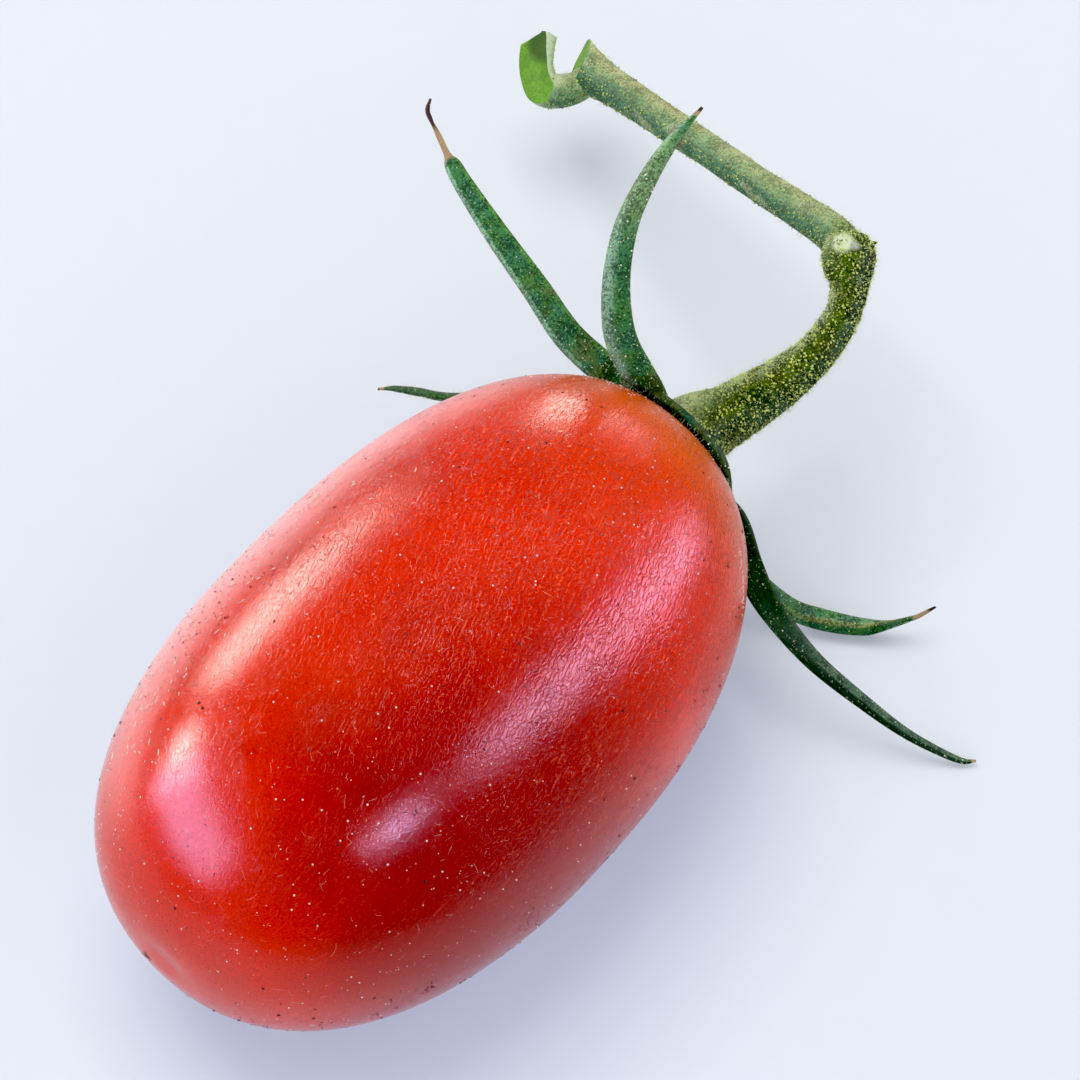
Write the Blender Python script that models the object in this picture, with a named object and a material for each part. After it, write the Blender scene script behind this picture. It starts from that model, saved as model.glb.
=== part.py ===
"""Plum tomato lying on its side, with its calyx and its cut stalk.

Metres, +Z up. The origin is the middle of the flat spot that the fruit rests on. The fruit's axis
runs along +X, from the blossom end to the stem end.
"""

import math

import bmesh
import bpy
from mathutils import Vector

MM = 0.001

# Fruit
FRUIT_LENGTH = 44.2 * MM
FRUIT_DIAMETER = 27.0 * MM
SQUARENESS = 2.34
TAPER = 0.021
BOW = 0.57 * MM
LOBE_COUNT = 3
LOBE_RISE = 0.006
LOBE_TURN = math.radians(25)
AXIS_HEIGHT = 13.15 * MM
STEM_HOLLOW_DEPTH = 0.9 * MM
STEM_HOLLOW_RADIUS = 3.2 * MM
SCAR_HOLLOW_DEPTH = 0.2 * MM
SCAR_HOLLOW_RADIUS = 1.3 * MM
FRUIT_SIDES = 64
FRUIT_STEPS = 38

# Calyx
DISC_RADIUS = 4.4 * MM
DISC_RIM_THICKNESS = 0.6 * MM
DISC_RIM_BULGE = 0.24 * MM
DISC_LOBE_RISE = 0.09
DISC_LOBE_WIDTH = math.radians(17)
DISC_SEAT_RADIUS = 2.6 * MM
DISC_SEAT_THICKNESS = 0.6 * MM
DISC_STEPS = 9
DISC_SIDES = 54
DISC_GAP = 0.38 * MM
SEPAL_THICKNESS = 0.64 * MM
SEPAL_EDGE_THINNING = 0.12
SEPAL_TIP_SHARE = 0.6
TIGHTEST_FOLD = 0.62 * MM
FLATTEST_FOLD = 0.1
SEPAL_STATIONS = 24
SEPAL_COLUMNS = 4
TWIST_LENGTH = 5.5 * MM

# Each sepal's root angle round the fruit's axis, from +Y towards +Z, in degrees
ROOT_ANGLES = {
    "behind": -25,
    "straight": 28,
    "upright": 75,
    "lost": 140,
    "front": 205,
    "low": 262,
}

# Points along each sepal: x, y, z and the blade's width, in millimetres. "across" is the way in
# which the blade's width points past its root, and "fold" is how far its two halves are folded
# together. A negative fold turns the ridge the other way.
SEPALS = {
    "behind": {
        "points": [
            (22.1, 2.9, 12.0, 2.1),
            (21.9, 5.2, 11.2, 2.1),
            (21.0, 8.4, 10.7, 2.0),
            (19.4, 11.0, 10.6, 1.8),
            (17.1, 13.9, 10.2, 1.4),
            (16.4, 15.6, 9.9, 1.1),
            (15.8, 17.0, 9.6, 0.8),
            (15.2, 17.8, 9.4, 0.62),
        ],
        "across": (-0.38, -0.32, 0.87),
        "fold": 40,
    },
    "straight": {
        "points": [
            (22.15, 2.8, 14.4, 2.1),
            (22.05, 5.1, 15.6, 2.0),
            (21.6, 8.2, 17.4, 1.8),
            (21.75, 11.4, 19.1, 1.5),
            (22.4, 14.65, 20.85, 1.3),
            (23.2, 17.8, 22.5, 0.85),
            (23.8, 19.8, 23.6, 0.62),
            (24.6, 21.7, 24.6, 0.62),
            (25.3, 22.0, 24.75, 0.62),
        ],
        "across": (0.92, -0.27, 0.30),
        "fold": 70,
    },
    "upright": {
        "points": [
            (22.15, 1.4, 15.5, 2.5),
            (22.0, 2.4, 17.0, 2.4),
            (21.1, 3.1, 20.2, 2.2),
            (21.05, 4.1, 22.85, 1.95),
            (22.2, 5.3, 25.7, 1.6),
            (24.15, 6.25, 28.1, 1.2),
            (26.65, 6.8, 29.45, 0.8),
            (29.25, 7.1, 30.3, 0.62),
            (31.9, 7.2, 30.4, 0.62),
        ],
        "across": (0.62, -0.76, 0.05),
        "fold": -95,
    },
    "front": {
        "points": [
            (22.1, -1.8, 11.7, 2.1),
            (21.85, -4.35, 9.45, 1.9),
            (20.6, -6.65, 8.4, 1.7),
            (19.6, -9.0, 7.8, 1.5),
            (19.4, -12.5, 5.8, 1.1),
            (20.1, -16.3, 3.6, 0.8),
            (20.9, -19.2, 1.95, 0.65),
            (22.1, -21.9, 0.6, 0.62),
            (22.8, -22.7, 0.45, 0.62),
        ],
        "across": (0.92, -0.12, 0.36),
        "fold": -75,
    },
    "low": {
        "points": [
            (22.15, 0.2, 10.5, 2.1),
            (22.4, -1.8, 7.6, 2.0),
            (22.5, -4.9, 4.8, 1.7),
            (22.85, -7.8, 2.7, 1.45),
            (23.75, -9.6, 1.4, 1.35),
            (25.45, -12.35, 1.15, 1.0),
            (27.05, -14.2, 2.0, 0.62),
            (28.3, -15.1, 3.0, 0.62),
        ],
        "across": (0.75, -0.5, 0.15),
        "fold": 90,
    },
}

# Stalk: points along each stretch, with x, y, z and the radius, in millimetres
PEDICEL_POINTS = [
    (22.75, 0.35, 13.15, 2.45),
    (23.85, 0.05, 13.2, 2.2),
    (25.25, -0.75, 13.5, 1.82),
    (27.15, -1.55, 14.1, 1.64),
    (28.95, -2.35, 15.0, 1.42),
    (30.75, -2.95, 16.0, 1.22),
    (32.55, -3.05, 17.0, 1.08),
    (33.9, -2.75, 17.7, 1.05),
    (34.75, -2.25, 18.1, 1.17),
    (35.45, -1.65, 18.5, 1.5),
    (36.15, -1.0, 18.8, 1.55),
    (36.7, -0.5, 18.9, 1.2),
]
TRUSS_POINTS = [
    (35.85, -1.3, 18.7, 0.9),
    (36.45, -0.4, 18.6, 1.15),
    (37.1, 1.7, 17.9, 1.15),
    (38.4, 7.35, 15.3, 1.02),
    (39.95, 14.0, 12.4, 1.03),
    (41.4, 20.8, 9.6, 1.14),
    (42.1, 23.85, 8.3, 1.42),
    (42.8, 26.6, 7.6, 1.75),
]
LIMB_POINTS = [
    (42.1, 23.5, 8.2, 0.9),
    (40.6, 24.1, 7.85, 1.02),
    (39.5, 25.2, 7.95, 1.15),
    (39.75, 26.4, 8.45, 1.2),
    (40.75, 27.15, 9.0, 1.15),
    (41.75, 27.55, 9.45, 1.0),
]
MAIN_CUT_POINT = (42.35, 25.2, 8.0)
MAIN_CUT_NORMAL = (-0.25, 0.95, 0.25)
LIMB_CUT_POINT = (39.35, 25.85, 8.6)
LIMB_CUT_NORMAL = (-0.78, 0.42, 0.46)
BRACT_POINTS = [
    (36.85, -1.35, 18.7, 0.5),
    (37.6, -1.8, 18.85, 0.3),
]
STALK_SIDES = 14
SQUARE_START = 3.0 * MM
PEDICEL_STATIONS = 40
TRUSS_STATIONS = 34
LIMB_STATIONS = 16


def make_material(name, color, roughness):
    """A plain surface of one colour."""
    material = bpy.data.materials.new(name)
    material.use_nodes = True
    shader = material.node_tree.nodes["Principled BSDF"]
    shader.inputs["Base Color"].default_value = (*color, 1)
    shader.inputs["Roughness"].default_value = roughness
    shader.inputs["Metallic"].default_value = 0
    material.diffuse_color = (*color, 1)
    return material


def make_object(name, bm, material):
    """An object of the mesh, with its faces turned out and shaded smooth."""
    bmesh.ops.recalc_face_normals(bm, faces=bm.faces)
    mesh = bpy.data.meshes.new(name)
    bm.to_mesh(mesh)
    bm.free()
    mesh.materials.append(material)
    mesh.shade_smooth()
    mesh.set_sharp_from_angle(angle=math.radians(40))
    made = bpy.data.objects.new(name, mesh)
    bpy.context.scene.collection.objects.link(made)
    return made


def smooth_route(points, stations):
    """Rows on a smooth curve through the points, evenly numbered from the first to the last."""
    rows = [Vector(point) for point in points]
    rows.insert(0, rows[0] * 2 - rows[1])
    rows.append(rows[-1] * 2 - rows[-2])
    route = []
    for station in range(stations):
        place = station / (stations - 1) * (len(points) - 1)
        index = min(int(place), len(points) - 2)
        part = place - index
        before, start, end, after = rows[index : index + 4]
        route.append(
            start
            + (end - before) * (part / 2)
            + (before * 2 - start * 5 + end * 4 - after) * (part**2 / 2)
            + (start * 3 - before - end * 3 + after) * (part**3 / 2)
        )
    return route


def directions(route):
    """The way the route runs at each of its rows."""
    found = []
    last = len(route) - 1
    for index in range(len(route)):
        step = route[min(index + 1, last)].xyz - route[max(index - 1, 0)].xyz
        found.append(step.normalized())
    return found


def loft(bm, rings):
    """A closed body through rings of points, with a flat end at each end."""
    loops = [[bm.verts.new(point * MM) for point in ring] for ring in rings]
    count = len(loops[0])
    for lower, upper in zip(loops, loops[1:]):
        for index in range(count):
            after = (index + 1) % count
            bm.faces.new((lower[index], lower[after], upper[after], upper[index]))
    bm.faces.new(loops[0])
    bm.faces.new(loops[-1])


def stem_reach(turn):
    """Distance along the axis and from it, on the fruit's profile. Turn 0 is the stem end."""
    power = 2 / SQUARENESS
    along = math.copysign(abs(math.cos(turn)) ** power, math.cos(turn))
    radius = FRUIT_DIAMETER / 2 * math.sin(turn) ** power * (1 - TAPER * along)
    x = FRUIT_LENGTH / 2 * along
    if along > 0:
        x -= STEM_HOLLOW_DEPTH * math.exp(-((radius / STEM_HOLLOW_RADIUS) ** 2))
    else:
        x += SCAR_HOLLOW_DEPTH * math.exp(-((radius / SCAR_HOLLOW_RADIUS) ** 2))
    return x, radius


def bow_and_lift(bm):
    """Bend the ends towards +Y and lift the body's axis to its height above the surface."""
    for vert in bm.verts:
        vert.co.y += BOW * (vert.co.x / (FRUIT_LENGTH / 2)) ** 2
        vert.co.z += AXIS_HEIGHT


def spin_profile(bm, profile, sides):
    """A body turned round the X axis from a profile that starts and ends on the axis."""
    verts = [bm.verts.new((x, radius, 0)) for x, radius in profile]
    edges = [bm.edges.new(pair) for pair in zip(verts, verts[1:])]
    bmesh.ops.spin(
        bm,
        geom=verts + edges,
        cent=(0, 0, 0),
        axis=(1, 0, 0),
        angle=math.tau,
        steps=sides,
        use_merge=True,
    )
    bmesh.ops.remove_doubles(bm, verts=bm.verts, dist=0.005 * MM)


def build_fruit(material):
    """The berry: a bowed, faintly three-lobed body with a flat spot under its middle."""
    bm = bmesh.new()
    turns = [math.pi * step / FRUIT_STEPS for step in range(FRUIT_STEPS + 1)]
    profile = [stem_reach(turn) for turn in turns]
    profile[0] = (profile[0][0], 0)
    profile[-1] = (profile[-1][0], 0)
    spin_profile(bm, profile, FRUIT_SIDES)
    for vert in bm.verts:
        angle = math.atan2(vert.co.z, vert.co.y)
        swell = 1 + LOBE_RISE * math.cos(LOBE_COUNT * (angle - LOBE_TURN))
        vert.co.y *= swell
        vert.co.z *= swell
    bow_and_lift(bm)
    cut = bmesh.ops.bisect_plane(
        bm,
        geom=bm.verts[:] + bm.edges[:] + bm.faces[:],
        plane_co=(0, 0, 0),
        plane_no=(0, 0, -1),
        dist=0.001 * MM,
        clear_outer=True,
    )
    rim = [item for item in cut["geom_cut"] if isinstance(item, bmesh.types.BMEdge)]
    bmesh.ops.contextual_create(bm, geom=rim)
    return make_object("fruit", bm, material)


def disc_lobes(angle):
    """How much further the disc reaches at an angle, with a lobe at each sepal's root."""
    rise = 0
    for root in ROOT_ANGLES.values():
        away = math.remainder(angle - math.radians(root), math.tau)
        rise += math.exp(-((away / DISC_LOBE_WIDTH) ** 2))
    return 1 + DISC_LOBE_RISE * rise


def shoulder_x(radius):
    """Where the fruit's profile is along the axis, at a distance from the axis by the stem."""
    low, high = 0, math.pi / 2
    for _ in range(30):
        middle = (low + high) / 2
        if stem_reach(middle)[1] < radius:
            low = middle
        else:
            high = middle
    return stem_reach(low)[0]


def build_disc(material):
    """The calyx's disc, which follows the fruit's shoulder and has a flat seat for the stalk."""
    radii = [DISC_RADIUS * step / DISC_STEPS for step in range(DISC_STEPS + 1)]
    under = [(shoulder_x(radius) + DISC_GAP, radius) for radius in radii]
    seat_x = max(x for x, _ in under) + DISC_SEAT_THICKNESS
    upper = []
    for x, radius in under:
        share = max(0, (radius - DISC_SEAT_RADIUS) / (DISC_RADIUS - DISC_SEAT_RADIUS))
        ease = share * share * (3 - 2 * share)
        upper.append((seat_x * (1 - ease) + (x + DISC_RIM_THICKNESS) * ease, radius))
    middle_x = (under[-1][0] + upper[-1][0]) / 2
    rim = [(middle_x, DISC_RADIUS + DISC_RIM_BULGE)]
    bm = bmesh.new()
    spin_profile(bm, under + rim + upper[::-1], DISC_SIDES)
    for vert in bm.verts:
        radius = math.hypot(vert.co.y, vert.co.z)
        share = min(1, radius / DISC_RADIUS) ** 3
        reach = 1 + (disc_lobes(math.atan2(vert.co.z, vert.co.y)) - 1) * share
        vert.co.x += shoulder_x(radius * reach) - shoulder_x(radius)
        vert.co.y *= reach
        vert.co.z *= reach
    bow_and_lift(bm)
    return make_object("calyx", bm, material)


def sepal_section(width, fold):
    """Points round a blade's section: across it, and out of it on the side that it opens to."""
    angle = math.copysign(min(abs(fold), width / (TIGHTEST_FOLD / MM)), fold)
    radius = width / angle
    half = SEPAL_THICKNESS / MM / 2
    middle_rise = radius * (1 - math.cos(angle / 2)) / 2
    shares = [2 * column / SEPAL_COLUMNS - 1 for column in range(SEPAL_COLUMNS + 1)]
    inner = []
    outer = []
    for share in shares:
        turn = share * angle / 2
        across = radius * math.sin(turn)
        rise = radius * (1 - math.cos(turn)) - middle_rise
        edge = half * (1 - SEPAL_EDGE_THINNING * share * share)
        normal = Vector((-math.sin(turn), math.cos(turn)))
        middle = Vector((across, rise))
        inner.append(middle + normal * edge)
        outer.append(middle - normal * edge)
    return inner + outer[::-1]


def build_sepal(name, shape, root_angle, material):
    """One long narrow sepal, which turns its width from round the disc to its own way across."""
    route = smooth_route(shape["points"], SEPAL_STATIONS)
    ways = directions(route)
    turn = math.radians(root_angle)
    round_disc = Vector((0, -math.sin(turn), math.cos(turn)))
    across = Vector(shape["across"])
    if round_disc.dot(across) < 0:
        round_disc.negate()
    rings = []
    travelled = 0
    for index, (row, way) in enumerate(zip(route, ways)):
        if index:
            travelled += (row.xyz - route[index - 1].xyz).length
        share = min(1, travelled / (TWIST_LENGTH / MM))
        ease = share * share * (3 - 2 * share)
        side = round_disc.lerp(across, ease)
        side = (side - way * side.dot(way)).normalized()
        out = side.cross(way)
        fold = math.radians(shape["fold"]) * max(ease, FLATTEST_FOLD)
        size = SEPAL_TIP_SHARE if index == len(route) - 1 else 1
        section = [point * size for point in sepal_section(row.w, fold)]
        rings.append([row.xyz + side * point.x + out * point.y for point in section])
    bm = bmesh.new()
    loft(bm, rings)
    bmesh.ops.triangulate(bm, faces=bm.faces)
    return make_object(name, bm, material)


def build_tube(name, points, stations, sides, material, start_way=None, cut=None):
    """A round stem of changing thickness. A cut, a point and a way out, slices its far end."""
    route = smooth_route(points, stations)
    ways = directions(route)
    if start_way:
        for index, row in enumerate(route):
            share = min(1, (row.xyz - route[0].xyz).length / (SQUARE_START / MM))
            ways[index] = Vector(start_way).lerp(ways[index], share * share).normalized()
    side = ways[0].orthogonal().normalized()
    rings = []
    for row, way in zip(route, ways):
        side = (side - way * side.dot(way)).normalized()
        up = way.cross(side)
        ring = []
        for index in range(sides):
            turn = math.tau * index / sides
            ring.append(row.xyz + (side * math.cos(turn) + up * math.sin(turn)) * row.w)
        rings.append(ring)
    bm = bmesh.new()
    loft(bm, rings)
    if cut:
        found = bmesh.ops.bisect_plane(
            bm,
            geom=bm.verts[:] + bm.edges[:] + bm.faces[:],
            plane_co=Vector(cut[0]) * MM,
            plane_no=Vector(cut[1]).normalized(),
            dist=0.001 * MM,
            clear_outer=True,
        )
        rim = [item for item in found["geom_cut"] if isinstance(item, bmesh.types.BMEdge)]
        bmesh.ops.contextual_create(bm, geom=rim)
    return make_object(name, bm, material)


def join(base, others):
    """Join the other objects to the base as one body."""
    group = bpy.data.collections.new("joined")
    for other in others:
        group.objects.link(other)
    union = base.modifiers.new("Join", "BOOLEAN")
    union.operation = "UNION"
    union.operand_type = "COLLECTION"
    union.collection = group
    union.solver = "EXACT"
    bpy.context.view_layer.update()
    graph = bpy.context.evaluated_depsgraph_get()
    mesh = bpy.data.meshes.new_from_object(base.evaluated_get(graph))
    base.modifiers.clear()
    base.data = mesh
    for other in others:
        bpy.data.objects.remove(other)
    bpy.data.collections.remove(group)
    bm = bmesh.new()
    bm.from_mesh(mesh)
    bmesh.ops.remove_doubles(bm, verts=bm.verts, dist=0.001 * MM)
    bmesh.ops.triangulate(bm, faces=bm.faces)
    bm.to_mesh(mesh)
    bm.free()
    mesh.shade_smooth()
    mesh.set_sharp_from_angle(angle=math.radians(40))


def build_calyx(material):
    """The disc with the five sepals grown out of it."""
    disc = build_disc(material)
    sepals = [
        build_sepal(name, shape, ROOT_ANGLES[name], material) for name, shape in SEPALS.items()
    ]
    join(disc, sepals)


def build_stalk(material):
    """The pedicel with its knuckle, the straight truss stem past it and its forked, cut end."""
    pedicel = build_tube(
        "stalk", PEDICEL_POINTS, PEDICEL_STATIONS, STALK_SIDES, material, start_way=(1, 0, 0)
    )
    truss = build_tube(
        "truss",
        TRUSS_POINTS,
        TRUSS_STATIONS,
        STALK_SIDES,
        material,
        cut=(MAIN_CUT_POINT, MAIN_CUT_NORMAL),
    )
    limb = build_tube(
        "limb",
        LIMB_POINTS,
        LIMB_STATIONS,
        STALK_SIDES - 2,
        material,
        cut=(LIMB_CUT_POINT, LIMB_CUT_NORMAL),
    )
    bract = build_tube("bract", BRACT_POINTS, 3, 8, material)
    join(pedicel, [truss, limb, bract])


def main():
    """Clear the scene and build the three pieces."""
    for old in list(bpy.data.objects):
        bpy.data.objects.remove(old)
    build_fruit(make_material("red_skin", (0.70, 0.035, 0.01), 0.28))
    build_calyx(make_material("sepal_green", (0.035, 0.12, 0.04), 0.6))
    build_stalk(make_material("stalk_green", (0.16, 0.24, 0.06), 0.65))


main()
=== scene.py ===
"""Looks for a plum tomato that lies on its side, with its calyx and its cut stalk.

It is laid out as an add-on and run as a script: main() calls each operator once, in order.
Metres, +Z up, in the frame of the packed part: the fruit's axis runs along +X to the stem end.
"""

import math
import random

import bmesh
import bpy
from mathutils import Matrix, Vector, noise


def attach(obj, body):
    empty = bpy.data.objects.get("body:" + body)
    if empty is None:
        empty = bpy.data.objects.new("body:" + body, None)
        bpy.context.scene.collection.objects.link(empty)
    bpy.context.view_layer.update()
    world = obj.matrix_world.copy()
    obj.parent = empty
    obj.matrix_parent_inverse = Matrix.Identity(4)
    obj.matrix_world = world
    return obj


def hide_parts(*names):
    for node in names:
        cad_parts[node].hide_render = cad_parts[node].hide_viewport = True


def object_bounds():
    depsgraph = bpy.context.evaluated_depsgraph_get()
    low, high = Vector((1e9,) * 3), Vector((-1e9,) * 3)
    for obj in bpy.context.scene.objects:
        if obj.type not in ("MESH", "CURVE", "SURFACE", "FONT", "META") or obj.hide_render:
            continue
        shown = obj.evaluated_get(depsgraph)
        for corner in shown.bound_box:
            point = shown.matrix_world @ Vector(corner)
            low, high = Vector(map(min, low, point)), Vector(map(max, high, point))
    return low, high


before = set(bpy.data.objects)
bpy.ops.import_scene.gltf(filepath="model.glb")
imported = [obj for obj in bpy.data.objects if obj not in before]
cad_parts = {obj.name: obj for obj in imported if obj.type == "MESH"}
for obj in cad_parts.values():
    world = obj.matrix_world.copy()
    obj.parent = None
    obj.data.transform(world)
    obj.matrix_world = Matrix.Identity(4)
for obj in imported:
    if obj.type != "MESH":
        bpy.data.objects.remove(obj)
CAD_BOX = [list(corner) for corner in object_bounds()]

bl_info = {
    "name": "Plum Tomato",
    "version": (1, 0, 0),
    "blender": (4, 5, 0),
    "location": "3D View > Sidebar > Tomato",
    "description": "Skin, calyx, stalk, glands, hairs and lint of a plum tomato, with its stage",
    "category": "Object",
}

MM = 0.001
BODY = "root"
AXIS_HEIGHT = 13.15 * MM

# The skin's hollows at the stem and at the blossom scar
STEM_HOLLOW_DEPTH = 0.9
STEM_HOLLOW_RADIUS = 3.2
SCAR_HOLLOW_DEPTH = 0.2
SCAR_HOLLOW_RADIUS = 1.3

# Where the blossom's dry scar is, as turns along and round the skin
SCAR_PLACE = (3.03, 5.5)
SCAR_LIMIT = -21.99
RIM_LINT_TURN = 0.0
SCAR_CRUMBS = ((-0.3, 0.1, 0.09), (-0.5, -0.05, 0.06), (0.25, 0.2, 0.08), (0.1, -0.25, 0.07), (-0.1, 0.35, 0.06))

# Clusters of dirt: turns along and round the skin, the spread in millimetres and the count
DIRT_CLUSTERS = (
    (1.84, 3.18, 0.6, 26),
    (2.18, 3.22, 0.7, 24),
    (1.967, 2.21, 0.09, 6),
    (1.577, 2.14, 0.25, 10),
    (1.228, 2.94, 0.9, 14),
    (1.59, 1.06, 0.5, 14),
    (1.80, 0.75, 1.6, 34),
)

# The calyx's disc
DISC_RADIUS = 4.4
DISC_GAP = 0.38
DISC_RIM_THICKNESS = 0.5
DISC_RIM_BULGE = 0.2
DISC_SEAT_RADIUS = 2.6
DISC_SEAT_THICKNESS = 0.6
DISC_LOBE_RISE = 0.09
DISC_LOBE_WIDTH = math.radians(17)

# Each sepal's root angle round the fruit's axis, from +Y towards +Z, in degrees
ROOT_ANGLES = {
    "behind": -25,
    "straight": 28,
    "upright": 75,
    "lost": 140,
    "front": 205,
    "low": 262,
}

# Points along each sepal: x, y, z and the blade's width, in millimetres. "across" is the way in
# which the blade's width points past its root, "fold" is how far its halves are folded together,
# in degrees, and "dry" is where along it the tip starts to dry and where it is brown. The next
# pair sets the painted shade at its root and tip, from 0 for the darkest shade to 1 for none, and
# the flank is the share of its width along one side that is painted pale, as if lit.
SEPALS = {
    "behind": {
        "points": [
            (22.1, 2.9, 12.0, 2.1),
            (21.9, 5.2, 11.2, 2.1),
            (21.0, 8.4, 10.7, 2.0),
            (19.4, 11.0, 10.6, 1.8),
            (17.1, 13.9, 10.2, 1.4),
            (16.4, 15.6, 9.9, 1.1),
            (15.8, 17.0, 9.6, 0.7),
            (15.2, 17.9, 9.4, 0.16),
        ],
        "across": (-0.38, -0.32, 0.87),
        "fold": 40,
        "dry": (0.93, 1.0),
        "unshaded": (0.3, 0.5),
        "flank": 0.0,
        "curl": 0,
    },
    "straight": {
        "points": [
            (22.15, 2.8, 14.4, 2.1),
            (22.05, 5.1, 15.6, 2.0),
            (21.6, 8.2, 17.4, 1.85),
            (22.05, 11.3, 19.2, 1.68),
            (22.55, 14.6, 20.9, 1.45),
            (23.15, 17.6, 22.4, 1.15),
            (23.5, 18.85, 23.05, 0.95),
            (23.7, 19.45, 23.4, 0.4),
            (24.15, 20.6, 24.05, 0.34),
            (24.6, 21.7, 24.6, 0.32),
            (25.3, 22.1, 24.8, 0.14),
        ],
        "across": (0.92, -0.27, 0.30),
        "fold": 70,
        "dry": (0.60, 0.86),
        "unshaded": (0.95, 1.0),
        "flank": 0.14,
        "curl": 200,
    },
    "upright": {
        "points": [
            (22.15, 1.4, 15.5, 2.5),
            (22.0, 2.4, 17.0, 2.4),
            (21.1, 3.1, 20.2, 2.2),
            (21.05, 4.1, 22.85, 1.95),
            (22.2, 5.3, 25.7, 1.65),
            (24.15, 6.25, 28.1, 1.4),
            (26.65, 6.8, 29.45, 1.1),
            (29.25, 7.1, 30.2, 0.75),
            (31.95, 7.2, 30.42, 0.16),
        ],
        "across": (0.62, -0.76, 0.05),
        "fold": -95,
        "dry": (0.965, 0.985),
        "unshaded": (0.85, 1.0),
        "flank": 0.55,
        "curl": 0,
    },
    "front": {
        "points": [
            (22.1, -1.8, 11.7, 2.1),
            (21.85, -4.35, 9.45, 1.9),
            (20.6, -6.65, 8.4, 1.75),
            (19.6, -9.0, 7.8, 1.55),
            (19.4, -12.5, 5.8, 1.15),
            (20.1, -16.3, 3.6, 0.85),
            (20.9, -19.2, 1.95, 0.6),
            (22.1, -21.9, 0.6, 0.4),
            (22.8, -22.75, 0.45, 0.16),
        ],
        "across": (0.92, -0.12, 0.36),
        "fold": -75,
        "dry": (0.95, 1.02),
        "unshaded": (0.0, 0.36),
        "flank": 0.0,
        "curl": 0,
    },
    "low": {
        "points": [
            (22.15, 0.2, 10.5, 2.1),
            (22.4, -1.8, 7.6, 2.0),
            (22.15, -4.85, 4.65, 1.45),
            (22.65, -7.75, 2.6, 1.35),
            (23.75, -9.6, 1.4, 1.4),
            (25.45, -12.35, 1.15, 1.05),
            (27.05, -14.2, 2.0, 0.6),
            (28.3, -15.15, 3.0, 0.16),
        ],
        "across": (0.75, -0.5, 0.15),
        "fold": 90,
        "dry": (0.86, 0.98),
        "unshaded": (0.8, 1.0),
        "flank": 0.0,
        "curl": 0,
    },
}
SEPAL_TWIST_LENGTH = 5.5
TIGHTEST_FOLD = 0.5
FLATTEST_FOLD = 0.1

# Points along each stretch of the stalk, with x, y, z and the radius, in millimetres
PEDICEL_POINTS = [
    (22.40, 0.35, 13.15, 2.45),
    (23.85, 0.05, 13.2, 2.2),
    (25.25, -0.75, 13.5, 1.82),
    (27.15, -1.55, 14.1, 1.64),
    (28.95, -2.35, 15.0, 1.42),
    (30.75, -2.95, 16.0, 1.22),
    (32.55, -3.05, 17.0, 1.08),
    (33.9, -2.75, 17.7, 1.05),
    (34.75, -2.25, 18.1, 1.17),
    (35.45, -1.65, 18.5, 1.5),
    (36.15, -1.0, 18.8, 1.55),
    (36.7, -0.5, 18.9, 1.2),
]
TRUSS_POINTS = [
    (35.85, -1.3, 18.7, 0.9),
    (36.45, -0.4, 18.6, 1.15),
    (37.1, 1.7, 17.9, 1.15),
    (38.4, 7.35, 15.3, 1.02),
    (39.95, 14.0, 12.4, 1.03),
    (41.4, 20.8, 9.6, 1.14),
    (42.1, 23.85, 8.3, 1.42),
    (42.7, 26.5, 7.65, 1.70),
]
LIMB_POINTS = [
    (42.1, 23.5, 8.2, 0.9),
    (40.6, 24.1, 7.85, 1.02),
    (39.5, 25.2, 7.95, 1.15),
    (39.75, 26.4, 8.45, 1.2),
    (40.75, 27.15, 9.0, 1.15),
    (41.75, 27.55, 9.45, 1.0),
]
BRACT_POINTS = [
    (36.85, -1.35, 18.7, 0.5),
    (37.35, -1.65, 18.8, 0.3),
    (37.7, -1.85, 18.87, 0.05),
]
MAIN_CUT = ((42.43, 25.0, 7.925), (-0.36, 0.89, 0.34))
LIMB_CUT = ((39.65, 26.0, 8.7), (-0.71, 0.26, 0.65))
LIMB_END = ((41.8, 27.7, 9.3), (0.27, 0.856, 0.44))
SQUARE_START = 3.0

# The camera, as the photograph was taken
CAMERA_AIM = (11.90, 2.22, 13.15)
CAMERA_DISTANCE = 262
CAMERA_AZIMUTH = -49.5
CAMERA_ELEVATION = 60
CAMERA_LENS = 150


def colour_property(name, description, value):
    """A colour that the panel shows, in linear values."""
    return bpy.props.FloatVectorProperty(
        name=name, description=description, subtype="COLOR", size=3, min=0, max=1, default=value
    )


def length_property(name, description, value):
    """A length that the panel shows, in metres."""
    return bpy.props.FloatProperty(
        name=name, description=description, subtype="DISTANCE", unit="LENGTH", default=value
    )


def share_property(name, description, value, most=1):
    """A plain number that the panel shows."""
    return bpy.props.FloatProperty(name=name, description=description, min=0, max=most, default=value)


def count_property(name, description, value):
    """A whole number that the panel shows."""
    return bpy.props.IntProperty(name=name, description=description, min=0, default=value)


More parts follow.
